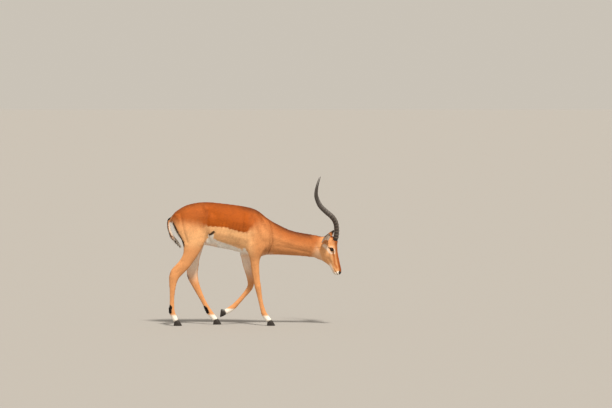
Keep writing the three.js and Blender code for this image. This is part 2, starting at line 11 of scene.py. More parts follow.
import bpy
import numpy as np
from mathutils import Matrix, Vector

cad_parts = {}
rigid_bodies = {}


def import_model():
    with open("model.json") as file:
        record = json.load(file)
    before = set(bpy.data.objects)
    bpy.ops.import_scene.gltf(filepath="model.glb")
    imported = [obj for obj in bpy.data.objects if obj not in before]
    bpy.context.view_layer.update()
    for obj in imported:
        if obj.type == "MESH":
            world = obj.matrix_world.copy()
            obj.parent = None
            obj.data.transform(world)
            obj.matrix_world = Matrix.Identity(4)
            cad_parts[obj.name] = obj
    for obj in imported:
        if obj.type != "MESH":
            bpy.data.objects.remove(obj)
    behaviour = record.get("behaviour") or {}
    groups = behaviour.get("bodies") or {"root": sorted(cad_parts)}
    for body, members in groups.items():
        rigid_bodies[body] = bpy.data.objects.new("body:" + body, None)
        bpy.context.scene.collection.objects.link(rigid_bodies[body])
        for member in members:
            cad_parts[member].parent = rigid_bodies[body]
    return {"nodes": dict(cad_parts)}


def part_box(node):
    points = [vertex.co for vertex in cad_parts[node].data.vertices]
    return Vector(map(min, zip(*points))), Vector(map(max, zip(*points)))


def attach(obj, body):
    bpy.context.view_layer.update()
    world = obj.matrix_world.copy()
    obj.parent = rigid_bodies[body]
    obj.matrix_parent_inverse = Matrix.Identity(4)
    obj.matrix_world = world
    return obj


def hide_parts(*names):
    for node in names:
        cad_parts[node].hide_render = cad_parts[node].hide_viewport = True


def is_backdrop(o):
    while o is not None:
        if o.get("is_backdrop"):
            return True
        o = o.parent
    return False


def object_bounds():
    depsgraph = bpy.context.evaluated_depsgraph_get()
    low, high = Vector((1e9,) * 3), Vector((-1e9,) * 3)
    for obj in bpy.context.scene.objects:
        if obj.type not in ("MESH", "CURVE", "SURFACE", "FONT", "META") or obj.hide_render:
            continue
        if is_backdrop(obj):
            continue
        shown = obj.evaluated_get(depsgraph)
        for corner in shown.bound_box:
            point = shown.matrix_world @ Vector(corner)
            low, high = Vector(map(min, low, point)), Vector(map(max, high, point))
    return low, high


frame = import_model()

cad_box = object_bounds()
rng = np.random.default_rng(11)
print("solids:", len(frame["nodes"]))

# %% [markdown]
# ## Places
# Every place is said in millimetres of the animal's own drawing: x runs towards its nose, y to its
# left, z up from the floor. The drawing's zero is not the frame's zero, so the shift between them
# is read off the right eye, whose place in the drawing is known. Points of the face are easier to
# say along the head, so the head has a drawing of its own: along it from poll to nose, above its
# axis, and out to the left. The whole head is turned a little to the right.

# %% Drawing coordinates
MM = 0.001
SIDES = {"right": -1, "left": 1}
POLL = (533.6, 680.0)
HEAD_PITCH = math.radians(68)
HEAD_YAW = math.radians(3)
TURN_PIVOT = 400.0
EYE_ALONG, EYE_ABOVE, EYE_OUT = 113.0, 22.0, 44.0
EYE_RADIUS = 16.5


def turn(points, angle=HEAD_YAW):
    """Turns drawing points with the head, about an upright line through the neck."""
    points = np.array(points, float)
    ahead, y = points[..., 0] - TURN_PIVOT, points[..., 1].copy()
    points[..., 0] = TURN_PIVOT + ahead * math.cos(angle) + y * math.sin(angle)
    points[..., 1] = y * math.cos(angle) - ahead * math.sin(angle)
    return points


def head_point(along, above, out):
    """A point of the head's own drawing, in the animal's drawing."""
    x = POLL[0] + along * math.cos(HEAD_PITCH) + above * math.sin(HEAD_PITCH)
    z = POLL[1] - along * math.sin(HEAD_PITCH) + above * math.cos(HEAD_PITCH)
    return turn(np.stack(np.broadcast_arrays(x, out, z), -1))


def head_places(points):
    """Along, above and out of drawing points, in the head's own drawing."""
    flat = turn(points, -HEAD_YAW)
    x, z = flat[:, 0] - POLL[0], flat[:, 2] - POLL[1]
    along = x * math.cos(HEAD_PITCH) - z * math.sin(HEAD_PITCH)
    above = x * math.sin(HEAD_PITCH) + z * math.cos(HEAD_PITCH)
    return along, above, flat[:, 1]


def eye_centre(side):
    return head_point(EYE_ALONG, EYE_ABOVE, SIDES[side] * EYE_OUT)


eye_low, eye_high = (np.array(corner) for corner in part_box("eye_right"))
SHIFT = (eye_low + eye_high) / 2 / MM - eye_centre("right")


def to_frame(points):
    """Drawing millimetres to metres in the frame."""
    return (np.asarray(points, float) + SHIFT) * MM


def to_drawing(points):
    """Metres in the frame to drawing millimetres."""
    return np.asarray(points, float) / MM - SHIFT


print("drawing zero lies at", np.round(SHIFT, 2), "mm")

# %% [markdown]
# ## Small tools
# Blender's operators act on whatever is selected, so each step starts from nothing selected. The
# solids themselves are left alone, and every step works on a copy of them.

# %% Selecting, copying and joining
WELD = 0.01  # corners of a solid nearer than this are one point


def select_only(obj):
    bpy.ops.object.select_all(action="DESELECT")
    obj.select_set(True)
    bpy.context.view_layer.objects.active = obj


def name_new(name):
    """Names the object that an operator has just added, and its mesh."""
    obj = bpy.context.object
    obj.name = name
    obj.data.name = name
    return obj


def apply_modifier(obj, kind, **settings):
    modifier = obj.modifiers.new(kind, kind)
    for key, value in settings.items():
        setattr(modifier, key, value)
    select_only(obj)
    bpy.ops.object.modifier_apply(modifier=modifier.name)


def edit_all(obj, operator, **settings):
    """Runs a mesh operator on the whole of a piece."""
    select_only(obj)
    bpy.ops.object.mode_set(mode="EDIT")
    bpy.ops.mesh.select_all(action="SELECT")
    operator(**settings)
    bpy.ops.object.mode_set(mode="OBJECT")


def copy_of_solid(node):
    """A welded copy of a solid, whose own mesh is loose triangles."""
    copy = frame["nodes"][node].copy()
    copy.data = copy.data.copy()
    copy.parent = None
    for key in list(copy.keys()):
        del copy[key]
    bpy.context.scene.collection.objects.link(copy)
    copy.data.materials.clear()
    edit_all(copy, bpy.ops.mesh.remove_doubles, threshold=WELD * MM)
    return copy


def join_all(objects, name):
    select_only(objects[0])
    for obj in objects[1:]:
        obj.select_set(True)
    bpy.ops.object.join()
    return name_new(name)


print("triangles of the trunk's solid:", len(frame["nodes"]["trunk"].data.polygons))

# %% [markdown]
# ### Points by arithmetic
# Many of the steps below move points by arithmetic, as a sculptor's strokes would, and numpy arrays
# are the quick way to read and write them. Bent lines say where a form or a colour runs: a line is
# read at a place along it, or asked how far it is from there.

# %% Reading, moving and measuring points
def read_array(elements, key, width, kind=float):
    """One property of every vertex, edge or face, in rows."""
    flat = np.empty(len(elements) * width, kind)
    elements.foreach_get(key, flat)
    return flat.reshape(-1, width)


def points_of(obj):
    return to_drawing(read_array(obj.data.vertices, "co", 3))


def normals_of(obj):
    return read_array(obj.data.vertices, "normal", 3)


def edges_of(obj):
    return read_array(obj.data.edges, "vertices", 2, int)


def set_points(obj, points):
    obj.data.vertices.foreach_set("co", to_frame(points).ravel())
    obj.data.update()


def shade_smooth(obj):
    obj.data.polygons.foreach_set("use_smooth", np.ones(len(obj.data.polygons), bool))


def smoothstep(value, low, high):
    t = np.clip((value - low) / (high - low), 0, 1)
    return t * t * (3 - 2 * t)


def read_line(value, line):
    """The second number of a bent line at a value of the first."""
    line = np.array(line, float)
    return np.interp(value, line[:, 0], line[:, 1])


def path_distance(flat, path):
    """How far points of a plane are from a bent line on it."""
    path = np.asarray(path, float)
    nearest = np.full(len(flat), np.inf)
    for start, end in zip(path[:-1], path[1:]):
        step = end - start
        share = np.clip((flat - start) @ step / (step @ step), 0, 1)
        gap = np.linalg.norm(flat - start - share[:, None] * step, axis=1)
        nearest = np.minimum(nearest, gap)
    return nearest


print("the poll is", round(float(path_distance([POLL], [(0, 0), (600, 0)])[0])), "mm above the floor")

# %% [markdown]
# ## The skin
# Skin is one sheet from nose to tail, so the parts of flesh are joined and drawn over with voxels, which
# melts the cuts between them. A coarse net is enough on the trunk. The face, the ears and the feet have
# finer forms: the face's part of the net is divided again before it is shaped, the ears are built on a
# finer grid of their own, and the hooves are pieces with a finer net.

# %% Join the flesh into one skin
LEGS = [f"{end}_{side}" for end in ("hind", "fore") for side in SIDES]
FLESH = ["head", "neck", "trunk", "tail", "scrotum"]
FLESH += [f"leg_{leg}_{half}" for leg in LEGS for half in ("upper", "lower")]
EARS = [f"ear_{side}" for side in SIDES]
VOXEL = 6.0
PEDICEL_LINE = [(600, 20, 596), (618, 25, 654)]
PEDICEL_RADIUS = (29, 25.5)
SOCKET_WALL = 1.5  # the socket's filling stands this far round the eyeball


def eye_ball(side, radius, name):
    bpy.ops.object.select_all(action="DESELECT")
    bpy.ops.mesh.primitive_uv_sphere_add(
        segments=64, ring_count=40, radius=radius * MM, location=to_frame(eye_centre(side))
    )
    ball = name_new(name)
    bpy.ops.object.transform_apply(location=True, rotation=True, scale=True)
    return ball


def pedicel(side):
    """The haired stump of bone that carries a horn."""
    low, high = (
        Vector(to_frame(turn((x, SIDES[side] * out, z)))) for x, out, z in PEDICEL_LINE
    )
    bpy.ops.object.select_all(action="DESELECT")
    bpy.ops.mesh.primitive_cone_add(
        vertices=32, radius1=PEDICEL_RADIUS[0] * MM, radius2=PEDICEL_RADIUS[1] * MM,
        depth=(high - low).length, location=(low + high) / 2,
        rotation=(high - low).to_track_quat("Z", "Y").to_euler(),
    )
    stump = name_new("pedicel")
    bpy.ops.object.transform_apply(location=True, rotation=True, scale=True)
    return stump


parts = [copy_of_solid(node) for node in FLESH]
parts += [eye_ball(side, EYE_RADIUS + SOCKET_WALL, "socket_filling") for side in SIDES]
parts += [pedicel(side) for side in SIDES]
skin = join_all(parts, "skin")
apply_modifier(skin, "REMESH", mode="VOXEL", voxel_size=VOXEL * MM, adaptivity=0.0)
print("skin net:", len(skin.data.polygons), "faces")

# %% [markdown]
# ## Where the head and the tail begin
# Several steps treat the head or the tail unlike the trunk. The head begins at the throat. The tail
# is what lies near its own bent line in the side view and behind the buttocks.

# %% Head and tail in the skin
TAIL_PATH = [
    (-600, 832), (-636, 827), (-653, 804), (-658, 776), (-655, 738),
    (-640, 698), (-612, 659), (-587, 628), (-569, 598),
]
# by height: the tail's middle line, the buttocks behind which it hangs, and the throat
TAIL_MIDDLE = [
    (598, -569), (628, -587), (659, -612), (698, -640), (738, -655), (776, -658), (804, -653), (832, -610),
]
BUTTOCKS = [(600, -560), (640, -578), (700, -596), (780, -622), (835, -612)]
THROAT = [(505, 424), (700, 496)]


def on_tail(points):
    x, y, z = points.T
    gap = path_distance(points[:, [0, 2]], TAIL_PATH)
    return (1 - smoothstep(gap, 17, 26)) * (np.abs(y) < 20) * (x < read_line(z, BUTTOCKS))


def on_head(points):
    """One in front of the throat, none on the neck."""
    throat = read_line(points[:, 2], THROAT)
    return smoothstep(points[:, 0], throat - 5, throat + 40)


print("points of the head:", int(on_head(points_of(skin)).sum()), "of", len(skin.data.vertices))

# %% [markdown]
# ## From flats to skin
# The solids have flat sides. Letting each point drift towards the middle of its neighbours melts
# the flats, as sanding does. It also thins whatever is thin, so the trunk gets many rounds, the
# head fewer and the legs and the tail only a few. The bulk that this takes off trunk and head is
# given back as a soft swelling. Last the skin goes in by the depth of the coat that will lie on it.

# %% Smooth the skin and draw it in
ROUNDS = {"all": 5, "trunk and face": 9, "trunk": 45, "bulk": 16}
COAT_DEPTH = {"trunk": 2.2, "head": 0.5, "tail": 1.0}


def relax(points, edges, strength, rounds):
    """Draws every point towards the middle of its neighbours."""
    first, second = edges.T
    count = np.maximum(np.bincount(edges.ravel(), minlength=len(points)), 1)
    for _ in range(rounds):
        middle = np.empty_like(points)
        for axis in range(3):
            middle[:, axis] = np.bincount(first, points[second, axis], len(points))
            middle[:, axis] += np.bincount(second, points[first, axis], len(points))
        points = points + strength[:, None] * (middle / count[:, None] - points)
    return points


def keep_largest(obj):
    """Drops the pockets that the voxels may close off inside."""
    select_only(obj)
    bpy.ops.object.mode_set(mode="EDIT")
    bpy.ops.mesh.select_all(action="DESELECT")
    bpy.ops.object.mode_set(mode="OBJECT")
    lowest = int(np.argmin(points_of(obj)[:, 2]))
    obj.data.vertices[lowest].select = True
    bpy.ops.object.mode_set(mode="EDIT")
    bpy.ops.mesh.select_linked()
    bpy.ops.mesh.select_all(action="INVERT")
    bpy.ops.mesh.delete(type="VERT")
    bpy.ops.object.mode_set(mode="OBJECT")


keep_largest(skin)
points = points_of(skin)
edges = edges_of(skin)
head_share = on_head(points)
tail_share = on_tail(points)
trunk_share = smoothstep(points[:, 2], 440, 560) * (1 - head_share) * (1 - tail_share)
face_share = head_share * (1 - smoothstep(head_places(points)[0], 150, 230))
everywhere = np.full(len(points), 0.5)
smooth = relax(points, edges, everywhere, ROUNDS["all"])
smooth = relax(smooth, edges, 0.5 * np.maximum(trunk_share, face_share), ROUNDS["trunk and face"])
smooth = relax(smooth, edges, 0.5 * trunk_share, ROUNDS["trunk"])
lost = relax(points - smooth, edges, everywhere, ROUNDS["bulk"])
points = smooth + lost * np.maximum(trunk_share, 0.5 * head_share)[:, None]
set_points(skin, points)
depth = COAT_DEPTH["trunk"] * trunk_share + COAT_DEPTH["head"] * head_share
depth += COAT_DEPTH["tail"] * tail_share
set_points(skin, points - depth[:, None] * normals_of(skin))
print("skin after smoothing:", len(points), "points")

# %% [markdown]
# ## Ears
# An impala's ear is a cupped leaf about as thick as cardboard, narrow at the root, widest at two
# fifths and pointed. A flat grid is bent into that leaf and given its thickness, then cut into one
# net with the skin, so that the ear grows out of the head without a seam.

# %% Ears
EAR_ROOT = (536, 36, 640)
EAR_TIPS = {"right": (579, 164, 713), "left": (600, 158, 724)}
EAR_OPENS = (0.35, 0.35, -0.85)
EAR_HALF_WIDTH, EAR_CUP, EAR_WALL = 28.0, 15.0, 2.4
EAR_BOW = 9.0  # the leaf bows back between root and tip
EAR_BEHIND = 78  # along the head, the ears end before this


def ear_frame(side):
    """Root, long axis, length and the way the cup faces, before the head turns."""
    sign = SIDES[side]
    root, tip, opens = (
        np.array([place[0], sign * place[1], place[2]], float)
        for place in (EAR_ROOT, EAR_TIPS[side], EAR_OPENS)
    )
    length = np.linalg.norm(tip - root)
    along = (tip - root) / length
    opens -= along * (opens @ along)
    return root, along, length, opens / np.linalg.norm(opens)


def leaf_outline(u):
    """Half width of the leaf as a share of its widest, from root to tip."""
    return np.minimum(1.05, 0.42 * (1 - u) ** 2 + 2.35 * np.sqrt(u) * (1 - u) ** 0.8)


def ear_leaf(side):
    root, along, length, opens = ear_frame(side)
    across = np.cross(along, opens)
    bpy.ops.object.select_all(action="DESELECT")
    bpy.ops.mesh.primitive_grid_add(x_subdivisions=18, y_subdivisions=30, size=2)
    leaf = name_new("ear_leaf")
    v, u, _ = read_array(leaf.data.vertices, "co", 3).T
    u = 0.985 * (u / 2 + 0.5)  # a point short of the outline's end, where it has no width
    half = (EAR_HALF_WIDTH * leaf_outline(u) + 1) * 0.96
    cup = EAR_CUP * half / EAR_HALF_WIDTH
    rise = cup * v**2 - cup / 2 - EAR_BOW * np.sin(np.pi * u) + 4
    shape = root + np.outer(length * u, along) + np.outer(half * v, across) + np.outer(rise, opens)
    set_points(leaf, turn(shape))
    apply_modifier(leaf, "SOLIDIFY", thickness=EAR_WALL * MM, offset=0.0)
    rounded = relax(points_of(leaf), edges_of(leaf), np.full(len(leaf.data.vertices), 0.4), 1)
    set_points(leaf, rounded)
    edit_all(leaf, bpy.ops.mesh.normals_make_consistent, inside=False)
    return leaf


for side in SIDES:
    leaf = ear_leaf(side)
    apply_modifier(skin, "BOOLEAN", object=leaf, operation="UNION", solver="EXACT")
    bpy.data.objects.remove(leaf)
print("skin with ears:", len(skin.data.polygons), "faces")

# %% [markdown]
# ## A finer net for the head
# Folds of a millimetre need points closer than that. The net of the head is divided once, and
# round the eyes, the nostrils and the mouth a second and a third time.

# %% Divide the net where the forms are fine
def divide(obj, chosen):
    """Divides the faces whose middles are chosen."""
    mask = chosen(to_drawing(read_array(obj.data.polygons, "center", 3)))
    select_only(obj)
    bpy.context.tool_settings.mesh_select_mode = (False, False, True)
    bpy.ops.object.mode_set(mode="EDIT")
    bpy.ops.mesh.select_all(action="DESELECT")
    bpy.ops.object.mode_set(mode="OBJECT")
    obj.data.polygons.foreach_set("select", mask)
    bpy.ops.object.mode_set(mode="EDIT")
    bpy.ops.mesh.subdivide(number_cuts=1)
    bpy.ops.object.mode_set(mode="OBJECT")


def whole_head(centres):
    along, _, out = head_places(centres)
    return (on_head(centres) > 0.5) & ~((np.abs(out) > 56) & (along < 75))


def eyes_and_muzzle(centres):
    along, above, out = head_places(centres)
    eye = np.hypot(along - EYE_ALONG, above - EYE_ABOVE) < 30
    muzzle = (along > 236) & (above > -40) | (along > 262)
    return (eye & (np.abs(out) > 25)) | (muzzle & (on_head(centres) > 0.5))


def eyes_nostrils_and_lips(centres):
    along, above, out = head_places(centres)
    eye = np.hypot(along - EYE_ALONG, above - EYE_ABOVE) < 21
    nostril = (np.hypot(along - 297, above - 10) < 12) & (np.abs(out) > 6)
    lips = np.abs(above + 14 + (298 - along) * 0.12) < 4
    return (eye & (np.abs(out) > 30)) | nostril | (lips & (along > 250))


for chosen in (whole_head, eyes_and_muzzle):
    divide(skin, chosen)
    points = points_of(skin)
    soft = 0.5 * on_head(points) * (np.abs(head_places(points)[2]) < 55)
    set_points(skin, relax(points, edges_of(skin), soft, 3))
divide(skin, eyes_nostrils_and_lips)
print("skin after dividing:", len(skin.data.polygons), "faces")

# %% [markdown]
# ## What lies under the skin
# A lean ram shows its shoulder blade, the hip, the hollow of the flank, a few ribs, the groove
# between neck and shoulder, and the strings above hock and heel. Each is a stroke: a line in the
# side view with a width and a height, raised or pressed into both sides at once.

# %% Sculpt the trunk and neck
STROKE_STRENGTH = 1.25
# (height in mm, width in mm, line of x and z)
TRUNK_STROKES = [
    (3.0, 20, [(-6, 850), (30, 775), (62, 715), (78, 676)]),  # spine of the shoulder blade
    (-3.2, 20, [(-42, 845), (-38, 770), (-22, 700), (-18, 655)]),  # hollow behind the shoulder
    (2.6, 26, [(12, 660), (-22, 622), (-48, 585)]),  # long head of the arm
    (-5.0, 7, [(112, 800), (124, 768), (139, 700), (141, 642), (128, 600), (106, 556)]),  # neck crease
    (2.5, 14, [(96, 780), (118, 700), (120, 640), (100, 590)]),  # front edge of the shoulder
    (3.2, 16, [(-376, 905), (-366, 892)]),  # hip
    (-4.5, 30, [(-325, 872), (-300, 850)]),  # hollow of the flank
    (-4.0, 14, [(-350, 880), (-356, 820), (-358, 760), (-350, 690), (-338, 650)]),  # before the thigh
    (3.2, 24, [(-388, 850), (-384, 770), (-396, 700)]),  # front of the thigh
    (-2.6, 12, [(-560, 850), (-548, 780), (-528, 700), (-508, 640)]),  # groove behind the thigh
    (2.4, 16, [(-398, 650), (-402, 628)]),  # kneecap
    (2.8, 12, [(-352, 640), (-330, 618), (-300, 600)]),  # fold of the flank
    (2.5, 14, [(-604, 848), (-590, 838)]),  # pin bone
    (-1.6, 11, [(170, 610), (240, 598), (330, 580), (420, 560)]),  # jugular groove
    (1.8, 18, [(160, 680), (250, 640), (350, 612), (440, 600)]),  # muscle above it
    (-1.8, 16, [(160, 735), (240, 690), (330, 662), (430, 650)]),
]
for number in range(8):  # ribs, each sloping back as it goes down
    x = -66 - 27 * number
    line = [(x, 790), (x - 12, 740), (x - 30, 680), (x - 52, 625 + 3 * number)]
    TRUNK_STROKES.append((0.75 + 0.25 * math.cos(2.3 * number), 8.5, line))


def strokes(side_view, table):
    total = np.zeros(len(side_view))
    for height, width, line in table:
        total += height * np.exp(-((path_distance(side_view, line) / width) ** 2))
    return total


points = points_of(skin)
normals = normals_of(skin)
flank = smoothstep(np.abs(points[:, 1]), 14, 40) * (np.abs(normals[:, 1]) > 0.2)
body = smoothstep(points[:, 2], 500, 560) * (1 - on_head(points)) * (1 - on_tail(points))
lift = STROKE_STRENGTH * strokes(points[:, [0, 2]], TRUNK_STROKES) * flank * body
set_points(skin, points + lift[:, None] * normals)
print("trunk strokes:", len(TRUNK_STROKES), "from", round(lift.min(), 1), "to", round(lift.max(), 1), "mm")

# %% [markdown]
# ## Legs
# A leg is easiest to know by its own line: how far in front of that line a point lies, how far on
# its outer side, and how far up.

# %% Lines of the legs
# each row: x, z, and distance from the middle, from the body to the top of the hoof
LEG_LINES = {
    "hind_right": [
        (-465, 655, 60), (-471, 605, 63), (-483, 563, 66), (-502, 521, 68), (-533, 475, 69),
        (-569, 435, 69), (-597, 404, 68), (-612, 374, 68), (-620, 331, 67), (-625, 271, 66),
        (-628, 202, 65), (-629, 152, 64), (-630, 117, 64), (-618, 80, 64), (-597, 36, 64),
    ],
    "hind_left": [
        (-465, 648, 61), (-464, 602, 63), (-466, 556, 66), (-469, 515, 68), (-471, 478, 69),
        (-475, 438, 70), (-478, 398, 70), (-471, 355, 70), (-451, 304, 70), (-418, 231, 70),
        (-392, 180, 70), (-371, 140, 70), (-351, 103, 70), (-325, 67, 70), (-300, 36, 70),
    ],
    "fore_right": [
        (17, 608, 70), (10, 567, 67), (7, 533, 63), (5, 500, 59), (7, 454, 56), (12, 401, 54),
        (19, 347, 53), (27, 304, 52), (34, 266, 52), (43, 218, 52), (54, 164, 52), (65, 122, 52),
        (76, 89, 52), (96, 60, 52), (115, 36, 52),
    ],
    "fore_left": [
        (-28, 611, 67), (-50, 566, 64), (-60, 530, 61), (-60, 497, 59), (-55, 454, 57),
        (-45, 409, 56), (-34, 363, 55), (-27, 320, 54), (-36, 283, 54), (-64, 245, 54),
        (-103, 199, 54), (-143, 155, 54), (-172, 128, 54), (-200, 110, 54), (-224, 97, 54),
    ],
}
LEG_TOPS = {"hind": (570, 650), "fore": (500, 575)}
STRIDE_MIDDLE = -272


def leg_places(points):
    """For every leg: its share of each point, and where the point lies along the leg's own line."""
    x, y, z = points.T
    found = {}
    for leg, rows in LEG_LINES.items():
        end, side = leg.split("_")
        sign = SIDES[side]
        line = np.array(rows, float)[::-1]
        run = np.concatenate([[0], np.cumsum(np.hypot(np.diff(line[:, 0]), np.diff(line[:, 1])))])
        slope = np.gradient(line[:, 0], line[:, 1])
        lean = np.interp(z, line[:, 1], slope)
        upright = 1 / np.sqrt(1 + lean**2)
        share = 1 - smoothstep(z, *LEG_TOPS[end])
        share = share * (y * sign > 0) * ((x < STRIDE_MIDDLE) == (end == "hind"))
        found[leg] = {
            "share": share * (on_tail(points) < 0.5) * (on_head(points) < 0.01) * (x < 150),
            "front": (x - np.interp(z, line[:, 1], line[:, 0])) * upright,
            "out": y * sign - np.interp(z, line[:, 1], line[:, 2]),
            "up": np.interp(z, line[:, 1], run),
            "down": np.stack([-lean * upright, 0 * z, -upright], 1),
        }
    return found


print("legs:", ", ".join(LEG_LINES))

# %% [markdown]
# ### Tendons and joints
# Tendons stand behind the cannon bones as strings with a groove before them, the hock has a hollow
# in front of its point, and the ankle swells.

# %% Sculpt the legs
# (height, width, line) where the line is in front and up along the leg
LEG_STROKES = {
    "hind": [
        (-4.0, 7, [(-24, 500), (-26, 455), (-24, 430)]),  # before the string above the hock
        (2.0, 7, [(-34, 470), (-36, 425), (-34, 400)]),
        (-2.0, 8, [(12, 415), (4, 385)]),  # hollow of the hock
        (-1.6, 4, [(-8, 330), (-6, 230), (-5, 140)]),  # before the tendons of the cannon
        (1.2, 8, [(0, 92), (0, 82)]),
    ],
    "fore": [
        (3.0, 12, [(-50, 540), (-46, 520)]),  # point of the elbow
        (-1.8, 6, [(-12, 480), (-10, 400), (-8, 330)]),  # between the muscles of the forearm
        (1.8, 10, [(6, 285), (6, 268)]),  # knee
        (-1.4, 4, [(-7, 235), (-6, 170), (-5, 125)]),
        (1.2, 8, [(0, 72), (0, 62)]),
    ],
}
points = points_of(skin)
normals = normals_of(skin)
lift = np.zeros(len(points))
for leg, place in leg_places(points).items():
    flat = np.stack([place["front"], place["up"]], 1)
    lift += strokes(flat, LEG_STROKES[leg.split("_")[0]]) * place["share"] * np.abs(normals[:, 1])
set_points(skin, points + lift[:, None] * normals)
print("leg strokes from", round(lift.min(), 1), "to", round(lift.max(), 1), "mm")

# %% [markdown]
# ## The face
# Bone lies close under the skin of the face: the rim of the orbit, the arch behind the eye and the
# ridge before it. The jaw carries a broad chewing muscle. The nostrils are commas in a bare pad,
# and the mouth is a short fold that runs back from it.

# %% Sculpt the head
NOSTRIL_LINE = [(291, 12), (297, 10), (301, 5)]
MOUTH_LINE = [(312, -7), (304, -11), (292, -14), (276, -17)]
JAW_SLOT = [(150, -84), (225, -52)]  # hollow between the halves of the jaw
# (height, width, line of along and above)
FACE_STROKES = [
    (2.4, 4.5, [(92, 30), (98, 41), (110, 46), (124, 43), (133, 33)]),  # upper rim of the orbit
    (1.6, 5, [(94, 10), (104, 0), (118, -2), (130, 6)]),  # lower rim
    (-2.6, 8, [(140, 20), (152, 18), (160, 15)]),  # hollow before the eye
    (1.8, 7, [(90, 14), (70, 6), (52, -4)]),  # arch behind the eye
    (2.0, 7, [(134, -2), (160, -8), (192, -12)]),  # ridge below the eye
    (2.2, 24, [(96, -40), (128, -42)]),  # chewing muscle
    (-1.8, 9, [(168, -30), (205, -26), (240, -18)]),  # hollow of the cheek
    (-2.0, 8, [(70, -64), (60, -84)]),  # behind the jaw
    (1.2, 7, [(160, 36), (205, 32), (250, 26)]),  # edge of the nose bone
    (-1.4, 9, [(170, 18), (215, 12), (255, 8)]),  # beside it
    (1.6, 5, [(286, 17), (295, 18), (303, 12)]),  # wing of the nostril
    (-6.0, 2.4, [*NOSTRIL_LINE, (300, 1)]),
    (-3.2, 1.7, [*MOUTH_LINE, (256, -22)]),
    (1.2, 4, [(300, -6), (286, -9), (268, -13)]),  # upper lip
    (1.2, 5, [(300, -20), (288, -24)]),  # lower lip
    (-2.2, 9, [(46, -14), (40, -24)]),  # below the ear
]
points = points_of(skin)
normals = normals_of(skin)
along, above, out = head_places(points)
cheek = smoothstep(np.abs(out), 5, 11) * on_head(points) * (np.abs(out) < 64)
sideways = np.clip(np.abs(normals[:, 1]) * 1.6, 0, 1)
profile = np.stack([along, above], 1)
lift = strokes(profile, FACE_STROKES) * cheek * sideways
under_jaw = (np.abs(out) < 12) * (above < -34) * on_head(points)
lift += strokes(profile, [(-3.0, 12, JAW_SLOT)]) * under_jaw
set_points(skin, points + lift[:, None] * normals)
print("face strokes:", len(FACE_STROKES))

# %% [markdown]
# ## Eyelids
# The eyeball is a whole ball, and what shows of it is the opening between the lids. Skin round the
# opening is laid on the ball at the thickness of a lid. Skin inside the opening goes back behind
# the ball's surface, where nothing of it shows, so the edge of the lid is a true edge.

# %% Lids round the eyes
LID_LONG, LID_HIGH = 13.4, 10.2  # half the opening, along it and across it
LID_TILT = math.radians(34)
LID_THICK = 1.3
LID_EDGE = 0.07  # points this near the edge are drawn onto it
LID_RIM = 1.22  # share of the opening out to which a lid is bare and black
EYE_SIDE = 30  # the eyes lie further out than this
HIDDEN_DEPTH = 2.6  # of the skin behind the eyeball's surface
FOLD_AT, FOLD_WIDTH = 1.42, 0.09  # a fine crease round both lids, in shares of the opening


def lid_places(points, side):
    """Share of the opening (one at the lid's edge) and the way out from the eye's middle."""
    along, above, out = head_places(points)
    a, b = along - EYE_ALONG, above - EYE_ABOVE
    long = a * math.cos(LID_TILT) + b * math.sin(LID_TILT)
    high = b * math.cos(LID_TILT) - a * math.sin(LID_TILT)
    corner = LID_HIGH * (1 - 0.40 * np.clip(np.abs(long) / LID_LONG, 0, 1) ** 2)
    share = np.sqrt((long / LID_LONG) ** 2 + (high / corner) ** 2)
    return share, SIDES[side] * out - EYE_OUT


def nearer_lid(points):
    """The same share, for the eye on each point's own side."""
    shares = (lid_places(points, side)[0] for side in SIDES)
    return np.where(head_places(points)[2] < 0, *shares)


points = points_of(skin)
for side in SIDES:
    share, ahead = lid_places(points, side)
    along, above, _ = head_places(points)
    near = (ahead > -6) & (share < 2.0)
    edge = np.abs(share - 1) < LID_EDGE
    pull = np.where(edge, 1 / np.maximum(share, 0.5), 1)
    share = np.where(edge, 1, share)
    a, b = (along - EYE_ALONG) * pull, (above - EYE_ABOVE) * pull
    flat = a**2 + b**2
    lid = np.sqrt(np.maximum((EYE_RADIUS + LID_THICK) ** 2 - flat, 25))
    hidden = np.sqrt(np.maximum((EYE_RADIUS - HIDDEN_DEPTH) ** 2 - flat, 4))
    onto = np.where(share < 1, hidden, lid)
    blend = np.where(share < 1, 1, 1 - smoothstep(share, 1.14, 1.7))
    fold = np.exp(-(((share - FOLD_AT) / FOLD_WIDTH) ** 2))
    ahead = ahead + (onto - ahead) * blend - fold * (share > 1)
    moved = head_point(a + EYE_ALONG, b + EYE_ABOVE, SIDES[side] * (ahead + EYE_OUT))
    points = np.where(near[:, None], moved, points)
set_points(skin, points)
shade_smooth(skin)
print("lids laid round both eyes")

# %% [markdown]
# ## Eyes
# Each eye is one glossy ball with a wide dark iris, and a pupil that lies level whatever the head
# does. The front is a little more domed, where the cornea stands out.

# %% Eyeballs
CORNEA_RISE = 1.1


def eye_forward(side):
    """The way an eye looks: outwards and somewhat ahead."""
    ahead = head_point(EYE_ALONG + 12, EYE_ABOVE + 16, SIDES[side] * (EYE_OUT + 60))
    look = ahead - eye_centre(side)
    return look / np.linalg.norm(look)


eyes = {}
for side in SIDES:
    ball = eye_ball(side, EYE_RADIUS, f"eye_{side}_ball")
    centre, look = eye_centre(side), eye_forward(side)
    away = points_of(ball) - centre
    facing = away @ look / EYE_RADIUS
    dome = CORNEA_RISE * smoothstep(facing, 0.76, 0.97)
    set_points(ball, centre + away * (1 + dome / EYE_RADIUS)[:, None])
    shade_smooth(ball)
    eyes[side] = ball
print("eyes:", [round(size, 4) for size in eyes["right"].dimensions], "m")

# %% [markdown]
# ## Horns
# The horns rise side by side, sweep back and out, then turn up: the outline of a lyre. Rings of
# growth stand out strongly on the front, grow lower with height, and leave the last third smooth.

